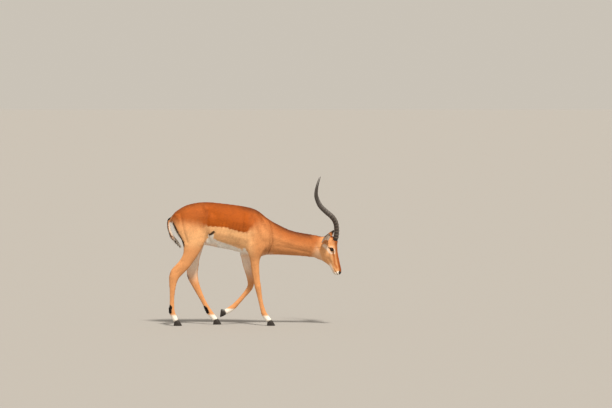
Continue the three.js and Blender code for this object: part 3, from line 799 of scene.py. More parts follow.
# %% Curve and rings of a horn
HORN_CURVE = [  # x, out and z
    (603, 22, 605), (612, 24, 634), (626, 27, 680), (630, 37, 738), (621, 53, 790), (594, 77, 832),
    (549, 98, 871), (503, 119, 918), (477, 134, 978), (474, 137, 1023), (484, 131, 1078),
    (503, 117, 1137),
]
HORN_RINGS = 15
HORN_RINGED = (0.095, 0.69)  # shares of the length between which the rings stand
RING_HEIGHT = 3.9
RING_PEAK = 0.62  # share of a ring's length at which it stands highest
HORN_POINTS = 300
HORN_TIP, HORN_SWELL = 1.2, 17.6  # radius at the tip, and what it gains towards the root


def through(knots, count):
    """Points evenly along a smooth curve through knots."""
    knots = np.array(knots, float)
    ends = np.vstack([2 * knots[0] - knots[1], knots, 2 * knots[-1] - knots[-2]])
    fine = []
    for a, b, c, d in zip(ends, ends[1:], ends[2:], ends[3:]):
        for t in np.linspace(0, 1, 40, endpoint=False):
            bend = 2 * b + (c - a) * t + (2 * a - 5 * b + 4 * c - d) * t**2
            fine.append((bend + (3 * b - a - 3 * c + d) * t**3) / 2)
    fine = np.array([*fine, knots[-1]])
    run = np.concatenate([[0], np.cumsum(np.linalg.norm(np.diff(fine, axis=0), axis=1))])
    even = np.linspace(0, run[-1], count)
    return np.stack([np.interp(even, run, fine[:, axis]) for axis in range(3)], 1)


def ring_swell(share):
    """Height of the rings along the horn: sharp above, easing off below, lower towards the tip."""
    start, end = HORN_RINGED
    place = (share - start) / (end - start)
    phase = (place * HORN_RINGS) % 1
    rising, falling = phase / RING_PEAK, (1 - phase) / (1 - RING_PEAK)
    shape = np.where(phase < RING_PEAK, rising**1.6, falling**0.8)
    inside = smoothstep(place, 0, 0.05) * (1 - smoothstep(place, 0.93, 1.0))
    return RING_HEIGHT * (1 - 0.62 * np.clip(place, 0, 1)) * shape * inside


def horn_knots(side, count=len(HORN_CURVE)):
    return [(x, SIDES[side] * out, z) for x, out, z in HORN_CURVE[:count]]


horn_line = through(horn_knots("right"), HORN_POINTS)
horn_steps = np.linalg.norm(np.diff(horn_line, axis=0), axis=1)
print("length of a horn along its curve:", round(horn_steps.sum()), "mm")

# %% [markdown]
# ### From a curve to a horn
# A horn is a bent line with a round section whose radius swells at every ring. How deep in a groove
# and how high up each point lies is stored for the colours.

# %% Horns
def horn_tube(middles, radius):
    """A round tube along a line."""
    bpy.ops.object.select_all(action="DESELECT")
    bpy.ops.curve.primitive_nurbs_path_add()
    line = bpy.context.object
    spline = line.data.splines[0]
    spline.type = "POLY"
    spline.points.add(HORN_POINTS - len(spline.points))
    spline.points.foreach_set("co", np.column_stack([to_frame(middles), np.ones(HORN_POINTS)]).ravel())
    spline.points.foreach_set("radius", radius)
    line.data.bevel_depth = MM
    line.data.bevel_resolution = 8
    line.data.use_fill_caps = True
    select_only(line)
    bpy.ops.object.convert(target="MESH")


def horn_shape(side):
    middles = turn(through(horn_knots(side), HORN_POINTS))
    share = np.linspace(0, 1, HORN_POINTS)
    radius = HORN_TIP + HORN_SWELL * (1 - share**1.35) ** 0.85
    horn_tube(middles, radius * (0.55 + 0.45 * smoothstep(share, 0, 0.05)))
    horn = name_new(f"horn_{side}_ringed")
    points = points_of(horn)
    nearest = np.concatenate([
        np.argmin(np.linalg.norm(block[:, None] - middles[None], axis=2), axis=1)
        for block in np.array_split(points, 40)
    ])
    away = points - middles[nearest]
    far = np.maximum(np.linalg.norm(away, axis=1), 0.01)
    front = np.clip(0.72 + 0.38 * away[:, 0] / far, 0.3, 1.1)
    swell = ring_swell(share[nearest]) * front
    set_points(horn, middles[nearest] + away * ((far + swell) / far)[:, None])
    for name, values in (("groove", swell / RING_HEIGHT), ("height", share[nearest])):
        horn.data.attributes.new(name, "FLOAT", "POINT").data.foreach_set("value", values)
    edit_all(horn, bpy.ops.mesh.normals_make_consistent, inside=False)
    shade_smooth(horn)
    return horn


horns = {side: horn_shape(side) for side in SIDES}
print("horn faces:", len(horns["right"].data.polygons))

# %% [markdown]
# ## Hooves
# Two claws to a foot, each a horn shoe that is blunt behind and pointed in front. The solids give
# their size; voxels and a few rounds of smoothing take off the flats, and the sole stays level. The
# wall grows down in faint rings, each a pause in growth.

# %% Hooves
CLAWS = {leg: [f"hoof_{leg}_{place}" for place in ("outer", "inner")] for leg in LEG_LINES}
HOOF_VOXEL = 1.5
HOOF_ROUNDS = 14
HOOF_RING = 0.22  # depth of the growth rings
STANDING = 5  # a foot with its sole lower than this stands on the floor
hooves = {}
for leg, nodes in CLAWS.items():
    hoof = join_all([copy_of_solid(node) for node in nodes], f"hooves_{leg}")
    apply_modifier(hoof, "REMESH", mode="VOXEL", voxel_size=HOOF_VOXEL * MM, adaptivity=0.0)
    points = points_of(hoof)
    low = points[:, 2].min()
    sole = points[:, 2] < low + 1.0
    points = relax(points, edges_of(hoof), np.full(len(points), 0.5), HOOF_ROUNDS)
    if low < STANDING:
        points[:, 2] = np.where(sole, low, np.maximum(points[:, 2], low))
    set_points(hoof, points)
    normals = normals_of(hoof)
    wall = smoothstep(np.abs(normals[:, 2]), 0.8, 0.5)
    rings = HOOF_RING * np.sin(points[:, 2] * 1.1 - points[:, 0] * 0.45) * wall
    points = points + rings[:, None] * normals
    points[:, 2] = np.maximum(points[:, 2], low + 0.01)
    set_points(hoof, points)
    shade_smooth(hoof)
    hooves[leg] = hoof
print("hoof faces:", sum(len(hoof.data.polygons) for hoof in hooves.values()))

# %% [markdown]
# ## Markings
# A ram's coat has a deep rufous saddle with a clear lower edge, tan flanks and legs, and white
# below. Black marks run down the buttocks and the tail, tip the ears and sit above the hind heels.
# The edges of these marks are bent lines in the side view, so each is kept as a list of places.

# %% Lines of the markings
COLOUR_TONES = ["warm", "rufous", "dusk", "white", "black"]
TONES = [*COLOUR_TONES, "upright"]  # upright says which way the hair's streaks run
# lower edge of the saddle, how soft that edge is and how deep the saddle is, each along x
SADDLE_EDGE = [
    (-640, 815), (-560, 800), (-450, 786), (-362, 770), (-350, 764), (-208, 757), (-175, 745),
    (-111, 726), (-52, 716), (-34, 732), (20, 768), (70, 778), (140, 765), (240, 700), (400, 655),
]
SADDLE_SOFT = [(-640, 90), (-400, 90), (-352, 9), (-62, 10), (-30, 60), (40, 130), (140, 150), (400, 110)]
SADDLE_DEPTH = [
    (-640, 0.86), (-400, 0.9), (-350, 1), (-40, 1), (60, 0.84), (140, 0.66), (260, 0.5), (400, 0.4),
]
BACK_LINE = [
    (-634, 832), (-614, 861), (-576, 891), (-516, 923), (-434, 942), (-353, 946), (-254, 937),
    (-155, 925), (-65, 911), (8, 891), (63, 862), (108, 832), (147, 803), (210, 766), (273, 735),
    (337, 716), (397, 705), (449, 695), (498, 690),
]
BELLY_EDGE = [
    (-354, 640), (-347, 702), (-303, 704), (-307, 674), (-285, 660), (-233, 640), (-170, 619),
    (-121, 601), (-95, 590), (-70, 560), (-28, 480), (110, 480),
]
ELBOW_STREAKS = {  # white behind the elbow
    "right": [(-70, 588), (-56, 545), (-40, 489)],
    "left": [(-122, 588), (-118, 545), (-105, 489)],
}
BUTTOCK_STRIPE = [(-612, 786), (-596, 747), (-577, 711), (-557, 679), (-541, 646), (-534, 618)]
FLANK_DARK_SPOT = [(-331, 697), (-300, 721)]
# darker hair on the saddle, then painted shade in the hollows and creases of the trunk
# (amount, width, softness, line of x and z)
TRUNK_DARK_HAIR_AND_SHADE = [
    (0.16, 30, 44, [(-170, 766), (-60, 744)]),  # deepest part of the saddle
    (0.10, 20, 40, [(-420, 850), (-430, 780)]),  # painted shade in the hollow of the rump
    (0.30, 9, 14, [(-357, 880), (-362, 760), (-354, 690)]),  # painted shade in the hollow before the thigh
    (0.36, 3.5, 9, [(124, 764), (140, 642), (126, 592)]),  # painted shade in the crease of the neck
    (0.60, 5, 10, [(128, 590), (104, 545)]),  # painted shade at the foot of that crease
]
BROW_LINE = [  # along and above
    (-7, -15), (2, 19), (13, 54), (37, 75), (71, 78), (103, 70), (135, 58), (176, 49), (213, 42),
    (246, 36), (273, 32), (292, 27), (308, 19), (316, 7),
]


def patch(flat, line, width, soft=4.0):
    """One near a bent line, none away from it."""
    return 1 - smoothstep(path_distance(flat, line), width - soft / 2, width + soft / 2)


def lay(tones, name, amount):
    """Lays one tone on; white and black hide what lies under them."""
    if name in ("white", "black"):
        for other in (tone for tone in COLOUR_TONES if tone != name):
            tones[other] = tones[other] * (1 - amount)
    tones[name] = np.maximum(tones[name], amount)


print("the saddle's edge falls from", SADDLE_EDGE[0][1], "to", SADDLE_EDGE[8][1], "mm above the floor")

# %% [markdown]
# ### Trunk
# The saddle fades into the haunch and the shoulder but ends sharply over the flank. Below it the
# flank is tan, then the belly is white. The seat is white too, behind its black stripe.

# %% Tones of the trunk
def elbow_streak(points):
    side_view = points[:, [0, 2]]
    right, left = (patch(side_view, ELBOW_STREAKS[side], 8, 8) for side in SIDES)
    return np.where(points[:, 1] < 0, right, left)


def trunk_tones(tones, points, normals):
    x, y, z = points.T
    side_view = points[:, [0, 2]]
    flat_out = np.abs(y)
    haunch = smoothstep(-x, 330, 400)
    neck = smoothstep(x, 60, 180)
    shoulder = smoothstep(x, -60, 40) * (1 - neck)
    below_back = z - read_line(x, BACK_LINE)
    tones["warm"][:] = 0.05 + 0.10 * haunch + 0.58 * neck + 0.52 * shoulder
    tones["warm"] += 0.34 * haunch * smoothstep(z, 680, 800)
    tones["dusk"] += 0.13 * neck * smoothstep(below_back, -120, -40)
    tones["warm"] += 0.25 * (neck + 0.6 * haunch) * smoothstep(below_back, -150, -30)
    edge = read_line(x, SADDLE_EDGE) + 2.5 * np.sin(x / 5.3) + 1.5 * np.sin(x / 2.1 + 1)
    spread = read_line(x, SADDLE_SOFT)
    saddle = smoothstep((z - edge) / spread, -0.5, 0.5) * read_line(x, SADDLE_DEPTH)
    lay(tones, "rufous", saddle)
    # darker hair along the top of the back and neck, with painted shade over it, heaviest over the withers
    crest = smoothstep(below_back, -46, -6)
    withers = smoothstep(x, -140, -60)
    tones["dusk"] += crest * (0.44 + 0.28 * withers + 0.08 * neck) * smoothstep(-x, -480, -420)
    # darker hair, and painted shade in hollows and creases
    for amount, width, soft, line in TRUNK_DARK_HAIR_AND_SHADE:
        tones["dusk"] += amount * patch(side_view, line, width, soft)
    underside = smoothstep(-normals[:, 2], 0.55, 0.9)
    belly = smoothstep(read_line(x, BELLY_EDGE) - z, -3, 5) * (x > -360) * (x < 112)
    belly = np.maximum(belly, underside * (x > -420) * (x < 60))
    between = (flat_out < 34) * smoothstep(-x, 340, 380) * smoothstep(760 - z, 0, 30)
    inner_thigh = smoothstep(-normals[:, 1] * np.sign(y), 0.1, 0.6) * (z < 700) * (x < -330)
    behind = smoothstep(read_line(z, [(b, a) for a, b in BUTTOCK_STRIPE[::-1]]) - x, 5, 11)
    behind = behind * (z < 800) * (z > 560) * (x < -500)
    elbow = elbow_streak(points) * (flat_out > 40)
    lay(tones, "white", np.clip(belly + between + inner_thigh + behind + elbow, 0, 1))
    # a near-black spot by the fold of the flank, on both sides
    mark = patch(side_view, FLANK_DARK_SPOT, 9, 4) * (flat_out > 60)
    stripe = patch(side_view, BUTTOCK_STRIPE, 7.5, 4) * (flat_out > 14)
    lay(tones, "black", np.clip(0.93 * mark + stripe, 0, 1))


print("shades laid on the trunk:", len(TRUNK_DARK_HAIR_AND_SHADE))

# %% [markdown]
# ### Legs
# Each leg is tan outside and pale inside, with a white foot. A hind leg has a black tuft above its heel,
# and painted shade at the point of its hock, far darker on the left leg.

# %% Tones of the legs
HEEL_LINE = [(-16, 114), (-20, 84)]  # in front and up along the leg, as are the leg's strokes
HOCK_SHADE_LINE = [(-50, 400), (-38, 372)]


def leg_tones(tones, points):
    for leg, place in leg_places(points).items():
        hind = leg.startswith("hind")
        share, front, up = place["share"], place["front"], place["up"]
        for tone in TONES:
            tones[tone] = tones[tone] * (1 - share)
        tones["warm"] += 0.49 * share
        tones["upright"] += share
        inner = smoothstep(-place["out"], 4, 14) * smoothstep(up, 300, 470) * share
        foot = (1 - smoothstep(up, 40, 62)) * share
        elbow = share * (not hind) * elbow_streak(points) * (place["out"] > 0)
        white = np.maximum(np.maximum(0.64 * inner, foot), elbow)
        lay(tones, "white", white * (tones["black"] < 0.5))
        if hind:
            along_leg = np.stack([front, up], 1)
            heel = patch(along_leg, HEEL_LINE, 19, 5) * share
            lay(tones, "black", heel)
            # painted shade at the point of the hock, strong on the left leg and faint on the right
            hock = patch(along_leg, HOCK_SHADE_LINE, 11, 8) * share
            tones["dusk"] += hock * (0.9 if leg == "hind_left" else 0.3)


print("the black above a heel is", HEEL_LINE[0][1] - HEEL_LINE[1][1], "mm high")

# %% [markdown]
# ### Head
# The bridge of the nose is darkest, the jaw and the patches round the eye are pale, and a dark tear
# runs from the eye's front corner.

# %% Tones of the head
def head_tones(tones, points):
    along, above, out = head_places(points)
    flat = np.stack([along, above], 1)
    head = on_head(points)
    rest = 1 - head
    brow = read_line(along, BROW_LINE) - above
    top = 1 - smoothstep(brow, 8, 26)
    warm = 0.33 + 0.4 * top + 0.2 * smoothstep(along, 110, 60)
    tones["warm"] = tones["warm"] * rest + head * warm
    bridge = top * (0.55 + 0.35 * smoothstep(along, 120, 200))
    tones["rufous"] = tones["rufous"] * rest + head * bridge
    tones["dusk"] *= rest
    tones["upright"] = np.maximum(tones["upright"], head)
    lay(tones, "rufous", 0.7 * head * patch(flat, [(146, 20), (176, 14), (225, 0), (258, 4)], 8, 14))
    tones["dusk"] += 0.15 * head * top * (1 + 1.6 * smoothstep(along, 190, 270))
    tones["dusk"] += 0.5 * head * (np.abs(out) < 22) * smoothstep(along, 60, 20) * top
    tones["dusk"] += 0.5 * head * patch(flat, [(140, 22), (172, 16)], 3, 7)
    jaw = 0.75 * smoothstep(-above, 20, 34) * smoothstep(along, 195, 235)
    throat = 0.15 * smoothstep(-above, 66, 80)
    cheek = 0.5 * patch(flat, [(66, -20), (90, -8)], 13, 18)
    behind_eye = 0.3 * patch(flat, [(90, 24), (98, 34)], 5, 8)
    over_eye = 0.6 * patch(flat, [(119, 41), (134, 38), (150, 29)], 3.5, 7)
    under_eye = 0.56 * patch(flat, [(108, -6), (126, -3), (138, 8)], 8, 11)
    lips = smoothstep(along, 282, 292) * smoothstep(-above, -12, -4)
    pale = jaw + throat + (cheek + behind_eye) + over_eye + under_eye + lips
    lay(tones, "white", head * np.clip(pale, 0, 0.95))
    beside = np.abs(out) > EYE_SIDE
    rim = (1 - smoothstep(nearer_lid(points), LID_RIM, 1.5)) * beside
    corner = patch(flat, [(100, 11), (92, 4)], 3.6, 4) * beside
    tear = 0.8 * patch(flat, [(126, 28), (133, 25), (144, 21)], 3.0, 3)
    pad = smoothstep(along, 294, 300) * smoothstep(above, -2, 3)
    hole = patch(flat, NOSTRIL_LINE, 4.5, 3)
    mouth = 0.8 * patch(flat, MOUTH_LINE, 2.2, 2)
    lay(tones, "black", head * np.clip(rim + corner + tear + pad + hole + mouth, 0, 1))


print("nose's bridge, from brow to tip:", BROW_LINE[3][0], "to", BROW_LINE[-1][0], "mm along the head")

# %% [markdown]
# ### Ears and tail
# The ears are rufous behind with black tips, and white inside, where streaks of bare grey skin show
# between the hairs. The tail is white below and in front, with a black line down its back.

# %% Tones of the ears and the tail
def turn_vectors(vectors, angle):
    """Turns directions the same way as points, but about no place."""
    turned = np.array(vectors, float)
    turned[:, 0] = vectors[:, 0] * math.cos(angle) + vectors[:, 1] * math.sin(angle)
    turned[:, 1] = vectors[:, 1] * math.cos(angle) - vectors[:, 0] * math.sin(angle)
    return turned


def ear_tones(tones, points, normals):
    along, _, out = head_places(points)
    for side, sign in SIDES.items():
        root, axis, length, opens = ear_frame(side)
        flat = turn(points, -HEAD_YAW) - root
        u = flat @ axis / length
        across = flat @ np.cross(axis, opens)
        ear = smoothstep(sign * out, 47, 53) * (along < EAR_BEHIND) * (u > 0.06)
        half = EAR_HALF_WIDTH * leaf_outline(np.clip(u, 0, 1))
        rim = np.abs(across) / np.maximum(half, 4)
        inside = smoothstep(turn_vectors(normals, -HEAD_YAW) @ opens, 0.05, 0.35)
        for tone, back, front in (("warm", 0.75, 0.1), ("rufous", 0.4, 0.0), ("dusk", 0.2, 0.15)):
            tones[tone] = tones[tone] * (1 - ear) + ear * (back + (front - back) * inside)
        for tone in ("white", "black"):
            tones[tone] = tones[tone] * (1 - ear)
        leaf = np.stack([u, across / EAR_HALF_WIDTH], 1)
        bare = patch(leaf, [(0.1, -0.12), (0.62, -0.1)], 0.16, 0.3)
        bare = bare + patch(leaf, [(0.12, 0.42), (0.5, 0.5)], 0.1, 0.2)
        bare = ear * inside * np.clip(bare, 0, 1)
        lay(tones, "white", ear * inside * 0.85 * (1 - 0.8 * bare))
        tones["dusk"] = np.maximum(tones["dusk"], 0.4 * bare)
        tip = smoothstep(u + 0.1 * (rim > 0.6), 0.70, 0.82)
        edge = smoothstep(rim, 0.88, 0.98) * smoothstep(u, 0.5, 0.7)
        lay(tones, "black", ear * np.clip(tip * (1 - 0.5 * inside) + 0.7 * edge, 0, 1))


def tail_tones(tones, points):
    x, y, z = points.T
    tail = on_tail(points)
    behind = read_line(z, TAIL_MIDDLE) - x
    own = {"warm": 0.5, "rufous": 0.35}
    for tone in COLOUR_TONES:
        tones[tone] = tones[tone] * (1 - tail) + own.get(tone, 0.0) * tail
    front = smoothstep(-behind, 0, 8) * 0.8 * smoothstep(z, 806, 776)
    pale = front + (1 - smoothstep(z, 640, 720))
    lay(tones, "white", tail * np.clip(pale, 0, 0.95))
    line = smoothstep(behind, 0.5, 4) * (np.abs(y) < 13) * smoothstep(z, 600, 620)
    lay(tones, "black", tail * line)


print("the tail is", TAIL_MIDDLE[-1][0] - TAIL_MIDDLE[0][0], "mm high")

# %% [markdown]
# ### One function for skin and hair
# One function says how much of each tone belongs at a place, and both the skin and every lock of
# hair ask it, so the two always agree. The amounts are stored on the points of the mesh.

# %% Tones of the skin
def markings(points, normals):
    tones = {name: np.zeros(len(points)) for name in TONES}
    trunk_tones(tones, points, normals)
    leg_tones(tones, points)
    head_tones(tones, points)
    tail_tones(tones, points)
    ear_tones(tones, points, normals)
    return {name: np.clip(value, 0, 1) for name, value in tones.items()}


def write_tones(mesh, tones):
    for name, values in tones.items():
        layer = mesh.attributes.new(name, "FLOAT", "POINT")
        layer.data.foreach_set("value", np.ascontiguousarray(values, dtype=np.float32))


skin_tones = markings(points_of(skin), normals_of(skin))
skin_tones["tuft"] = np.full(len(skin.data.vertices), 0.5)
write_tones(skin.data, skin_tones)
print("share of the skin:", {name: round(float(value.mean()), 2) for name, value in skin_tones.items()})

# %% [markdown]
# ## Materials
# Every colour is written as a painter would name it, in the usual hex form, and turned into the
# light values that Blender mixes. One helper adds a node with its inputs, and another makes a tone
# darker and brighter by a pattern.

# %% Helpers for materials
COLOUR_MIX = {"data_type": "RGBA", "output": 2}  # for a Mix node: factor 0, colours 6 and 7


def light(hex_code):
    """A hex colour as the light values that shaders mix."""
    parts = [int(hex_code[i:i + 2], 16) / 255 for i in (1, 3, 5)]
    parts = [part / 12.92 if part <= 0.04045 else ((part + 0.055) / 1.055) ** 2.4 for part in parts]
    return (*parts, 1.0)


def new_material(name, values):
    """A material with one shader, whose fixed values are set on the shader itself."""
    material = bpy.data.materials.new(name)
    material.use_nodes = True
    shader = material.node_tree.nodes["Principled BSDF"]
    for socket, value in values.items():
        shader.inputs[socket].default_value = value
    return material, shader


def add_node(material, kind, inputs=None, output=0, **settings):
    """Adds a node and gives one of its outputs; an input is a value or another node's output."""
    node = material.node_tree.nodes.new(kind)
    for key, value in settings.items():
        setattr(node, key, value)
    for socket, source in (inputs or {}).items():
        if isinstance(source, bpy.types.NodeSocket):
            material.node_tree.links.new(source, node.inputs[socket])
        else:
            node.inputs[socket].default_value = source
    return node.outputs[output]


def wire(material, shader, **sources):
    """Joins node outputs to the shader's own sockets."""
    for socket, source in sources.items():
        material.node_tree.links.new(source, shader.inputs[socket.replace("_", " ").title()])


def streaks(material, source, scale, detail=3.0):
    """Noise drawn out along one way; scale is in streaks to the metre along x, y and z."""
    drawn = add_node(material, "ShaderNodeMapping", {"Vector": source, "Scale": scale})
    noise = {"Vector": drawn, "Scale": 1.0, "Detail": detail, "Roughness": 0.6}
    return add_node(material, "ShaderNodeTexNoise", noise, "Fac")


def shade_by(material, tone, pattern, low, high, darkest, brightest):
    """A tone made darker where a pattern is low and brighter where it is high."""
    reach = {"From Min": low, "From Max": high, "To Min": darkest, "To Max": brightest}
    amount = add_node(material, "ShaderNodeMapRange", {"Value": pattern, **reach})
    colours = {0: 1.0, 6: tone, 7: amount}
    return add_node(material, "ShaderNodeMix", colours, blend_type="MULTIPLY", **COLOUR_MIX)


print("mid grey in light values:", [round(part, 3) for part in light("#808080")])

# %% [markdown]
# ### The coat
# An impala's hair is short and sleek, and lies flat: it takes a soft sheen and shows fine streaks
# along its lie. The tones stored on the points are laid one over another, then streaks, broad
# clouds and each lock's own shade break them up.

# %% Short sleek hair
COLOURS = {
    "flank": "#EFB983",
    "tan": "#B45F1C",
    "rufous": "#A44E05",
    "dusk": "#5C2C0E",
    "white": "#F4EEE5",
    "black": "#17110F",
}
# streaks 14 mm long and 2.4 mm wide: real hair is finer, and would not show
LEVEL_STREAKS, UPRIGHT_STREAKS = (70, 420, 420), (420, 420, 70)
CLOUD_SCALE = 16.0  # clouds of 60 mm

coat, coat_shader = new_material("impala coat", {
    "Roughness": 0.7, "Specular IOR Level": 0.2, "Sheen Weight": 0.02, "Sheen Roughness": 0.4,
})
place = add_node(coat, "ShaderNodeTexCoord", output="Object")
amounts = {
    name: add_node(coat, "ShaderNodeAttribute", output="Fac", attribute_name=name)
    for name in [*TONES, "tuft"]
}
level, upright = (streaks(coat, place, scale) for scale in (LEVEL_STREAKS, UPRIGHT_STREAKS))
streak = add_node(coat, "ShaderNodeMix", {0: amounts["upright"], 6: level, 7: upright}, **COLOUR_MIX)
cloud = add_node(coat, "ShaderNodeTexNoise", {"Vector": place, "Scale": CLOUD_SCALE, "Detail": 2.0}, "Fac")
tone = light(COLOURS["flank"])
for name, colour in zip(COLOUR_TONES, ("tan", *COLOUR_TONES[1:])):
    colours = {0: amounts[name], 6: tone, 7: light(COLOURS[colour])}
    tone = add_node(coat, "ShaderNodeMix", colours, **COLOUR_MIX)
tone = shade_by(coat, tone, streak, 0.25, 0.75, 0.86, 1.12)
tone = shade_by(coat, tone, cloud, 0.3, 0.7, 0.93, 1.06)
tone = shade_by(coat, tone, amounts["tuft"], 0.0, 1.0, 0.86, 1.14)
bump = add_node(coat, "ShaderNodeBump", {"Height": streak, "Strength": 0.35, "Distance": 0.0012})
wire(coat, coat_shader, base_color=tone, normal=bump)
skin.data.materials.append(coat)
print("coat material:", len(coat.node_tree.nodes), "nodes")

# %% [markdown]
# ### Horn and hoof
# Both are keratin, which grows in fibres and takes a dull polish. A horn is nearly black in its
# grooves and rubbed grey-brown on its rings, and its tip is smooth and dark. A hoof is black, with
# a fine upright grain.

# %% Keratin
horn_stuff, horn_shader = new_material("horn keratin", {"Roughness": 0.42})
place = add_node(horn_stuff, "ShaderNodeTexCoord", output="Object")
grain = streaks(horn_stuff, place, (260, 260, 60), 4.0)  # fibres 4 mm wide, 17 mm long
groove, height = (
    add_node(horn_stuff, "ShaderNodeAttribute", output="Fac", attribute_name=name)
    for name in ("groove", "height")
)
rubbed = add_node(horn_stuff, "ShaderNodeMapRange", {"Value": groove, "From Max": 0.8})
colours = {0: rubbed, 6: light("#1F1916"), 7: light("#6C6056")}
tone = add_node(horn_stuff, "ShaderNodeMix", colours, **COLOUR_MIX)
colours = {0: height, 6: tone, 7: light("#453E3A")}
tone = add_node(horn_stuff, "ShaderNodeMix", colours, **COLOUR_MIX)
tone = shade_by(horn_stuff, tone, grain, 0.3, 0.7, 0.75, 1.25)
bump = add_node(horn_stuff, "ShaderNodeBump", {"Height": grain, "Strength": 0.3, "Distance": 0.001})
wire(horn_stuff, horn_shader, base_color=tone, normal=bump)

hoof_stuff, hoof_shader = new_material("hoof keratin", {"Roughness": 0.45})
place = add_node(hoof_stuff, "ShaderNodeTexCoord", output="Object")
grain = streaks(hoof_stuff, place, (300, 300, 80))  # fibres 3 mm wide, 12 mm long
colours = {0: grain, 6: light("#14110F"), 7: light("#38302B")}
wire(hoof_stuff, hoof_shader, base_color=add_node(hoof_stuff, "ShaderNodeMix", colours, **COLOUR_MIX))

for pieces, stuff in ((horns, horn_stuff), (hooves, hoof_stuff)):
    for piece in pieces.values():
        piece.data.materials.append(stuff)
print("horns and hooves have", horn_stuff.name, "and", hoof_stuff.name)

# %% [markdown]
# ### Wet eye
# An antelope's pupil is a level bar in a very dark brown iris, with a paler ring at the edge, and
# all of it is wet. Each eye has its own material, measured from the middle of its own cornea.

# %% Iris and pupil
PUPIL = (150, 150, 260)  # one over its half lengths in metres: 6.7 mm level, 3.8 mm upright
IRIS_EDGE = (0.0125, 0.0142)
for side, ball in eyes.items():
    wet, wet_shader = new_material(f"wet eye {side}", {"Roughness": 0.05})
    place = add_node(wet, "ShaderNodeTexCoord", output="Object")
    middle = tuple(to_frame(eye_centre(side) + eye_forward(side) * EYE_RADIUS))
    off = add_node(wet, "ShaderNodeVectorMath", {0: place, 1: middle}, operation="SUBTRACT")
    wide = add_node(wet, "ShaderNodeVectorMath", {0: off, 1: PUPIL}, operation="MULTIPLY")
    pupil, reach = (
        add_node(wet, "ShaderNodeVectorMath", {0: way}, "Value", operation="LENGTH")
        for way in (wide, off)
    )
    soft = add_node(wet, "ShaderNodeMapRange", {"Value": pupil, "From Min": 0.9, "From Max": 1.1})
    edge = {"Value": reach, "From Min": IRIS_EDGE[0], "From Max": IRIS_EDGE[1]}
    colours = {0: soft, 6: light("#040303"), 7: light("#1E1008")}
    tone = add_node(wet, "ShaderNodeMix", colours, **COLOUR_MIX)
    colours = {0: add_node(wet, "ShaderNodeMapRange", edge), 6: tone, 7: light("#1D1410")}
    wire(wet, wet_shader, base_color=add_node(wet, "ShaderNodeMix", colours, **COLOUR_MIX))
    ball.data.materials.append(wet)
print("materials:", [material.name for material in bpy.data.materials if material.users])

# %% [markdown]
# ## The lie of the coat
# Hair runs from the nose up to the crown, back along the neck and the trunk, and down the limbs.
# The lie at a place is a blend of those runs, flattened onto the skin there.

# %% Which way the hair lies
EAR_OUT = 50  # the ears lie further out than this


def flattened(ways, normals):
    """Ways laid onto the skin and brought to length one."""
    ways = ways - normals * np.sum(ways * normals, axis=1)[:, None]
    return ways / np.maximum(np.linalg.norm(ways, axis=1), 1e-6)[:, None]


def blend_ways(ways, other, share):
    share = np.asarray(share, float)[:, None]
    return ways * (1 - share) + np.asarray(other, float) * share


def on_ear(points):
    along, _, out = head_places(points)
    return (np.abs(out) > EAR_OUT) & (along < EAR_BEHIND) & (on_head(points) > 0.02)


def tail_ways(z):
    """Down the tail's bent line."""
    tail_x, tail_z = np.array(TAIL_PATH[::-1], float).T
    slope = np.interp(z, tail_z[:-1], np.gradient(tail_x, tail_z)[:-1])
    ways = np.stack([-slope, 0 * z, -np.ones(len(z))], 1)
    return ways / np.linalg.norm(ways, axis=1)[:, None]


def hair_ways(points, normals):
    x, y, z = points.T
    along, _, out = head_places(points)
    ways = np.tile([-1.0, 0, -0.3], (len(points), 1))
    ways[:, 1] = 0.15 * np.sign(y) * smoothstep(normals[:, 2], 0.2, 0.8)
    ways = blend_ways(ways, (-0.45, 0, -1), smoothstep(-x, 330, 430) * smoothstep(860 - z, 0, 130))
    shoulder = smoothstep(x, -70, 10) * (1 - smoothstep(x, 90, 150))
    ways = blend_ways(ways, (-0.5, 0, -1), shoulder * smoothstep(850 - z, 0, 150))
    ways = blend_ways(ways, (-1, 0, -0.22), smoothstep(x, 110, 160))
    for place in leg_places(points).values():
        ways = blend_ways(ways, place["down"], place["share"])
    nose_to_crown = np.array([[-math.cos(HEAD_PITCH), 0, math.sin(HEAD_PITCH)]])
    nose_to_crown = turn_vectors(nose_to_crown, HEAD_YAW)[0]
    ways = blend_ways(ways, nose_to_crown, on_head(points) * smoothstep(along, 30, 90))
    ways = blend_ways(ways, tail_ways(z), on_tail(points))
    ears = on_ear(points)
    for side, sign in SIDES.items():
        axis = turn_vectors(ear_frame(side)[1][None], HEAD_YAW)[0]
        ways = blend_ways(ways, axis, ears & (sign * out > 0))
    return flattened(ways, normals)


above_hip = np.array([(-366.0, -40.0, 920.0)])
print("over the hip the hair lies", np.round(hair_ways(above_hip, np.array([(0, -0.4, 0.9)]))[0], 2))

# %% [markdown]
# ## The skin laid flat
# Every lock keeps one small patch of a picture plane, at its root's place on the skin laid flat. So
# each part of the animal is unrolled round its own axis, and has a part of the plane to itself.

# %% One plane for the whole coat
# height of each part's own middle: along x for the body, along the head for the head
BODY_MIDDLE = [
    (-640, 800), (-434, 780), (-65, 730), (63, 700), (147, 670), (273, 634), (397, 615), (498, 600),
]
HEAD_MIDDLE = [(0, -40), (100, -8), (200, -8), (316, -10)]
PLANE_EDGE = 0.004


def round_share(out, above):
    """The way round an axis, as a share of a whole turn."""
    return np.arctan2(out, above) / (2 * np.pi) + 0.5


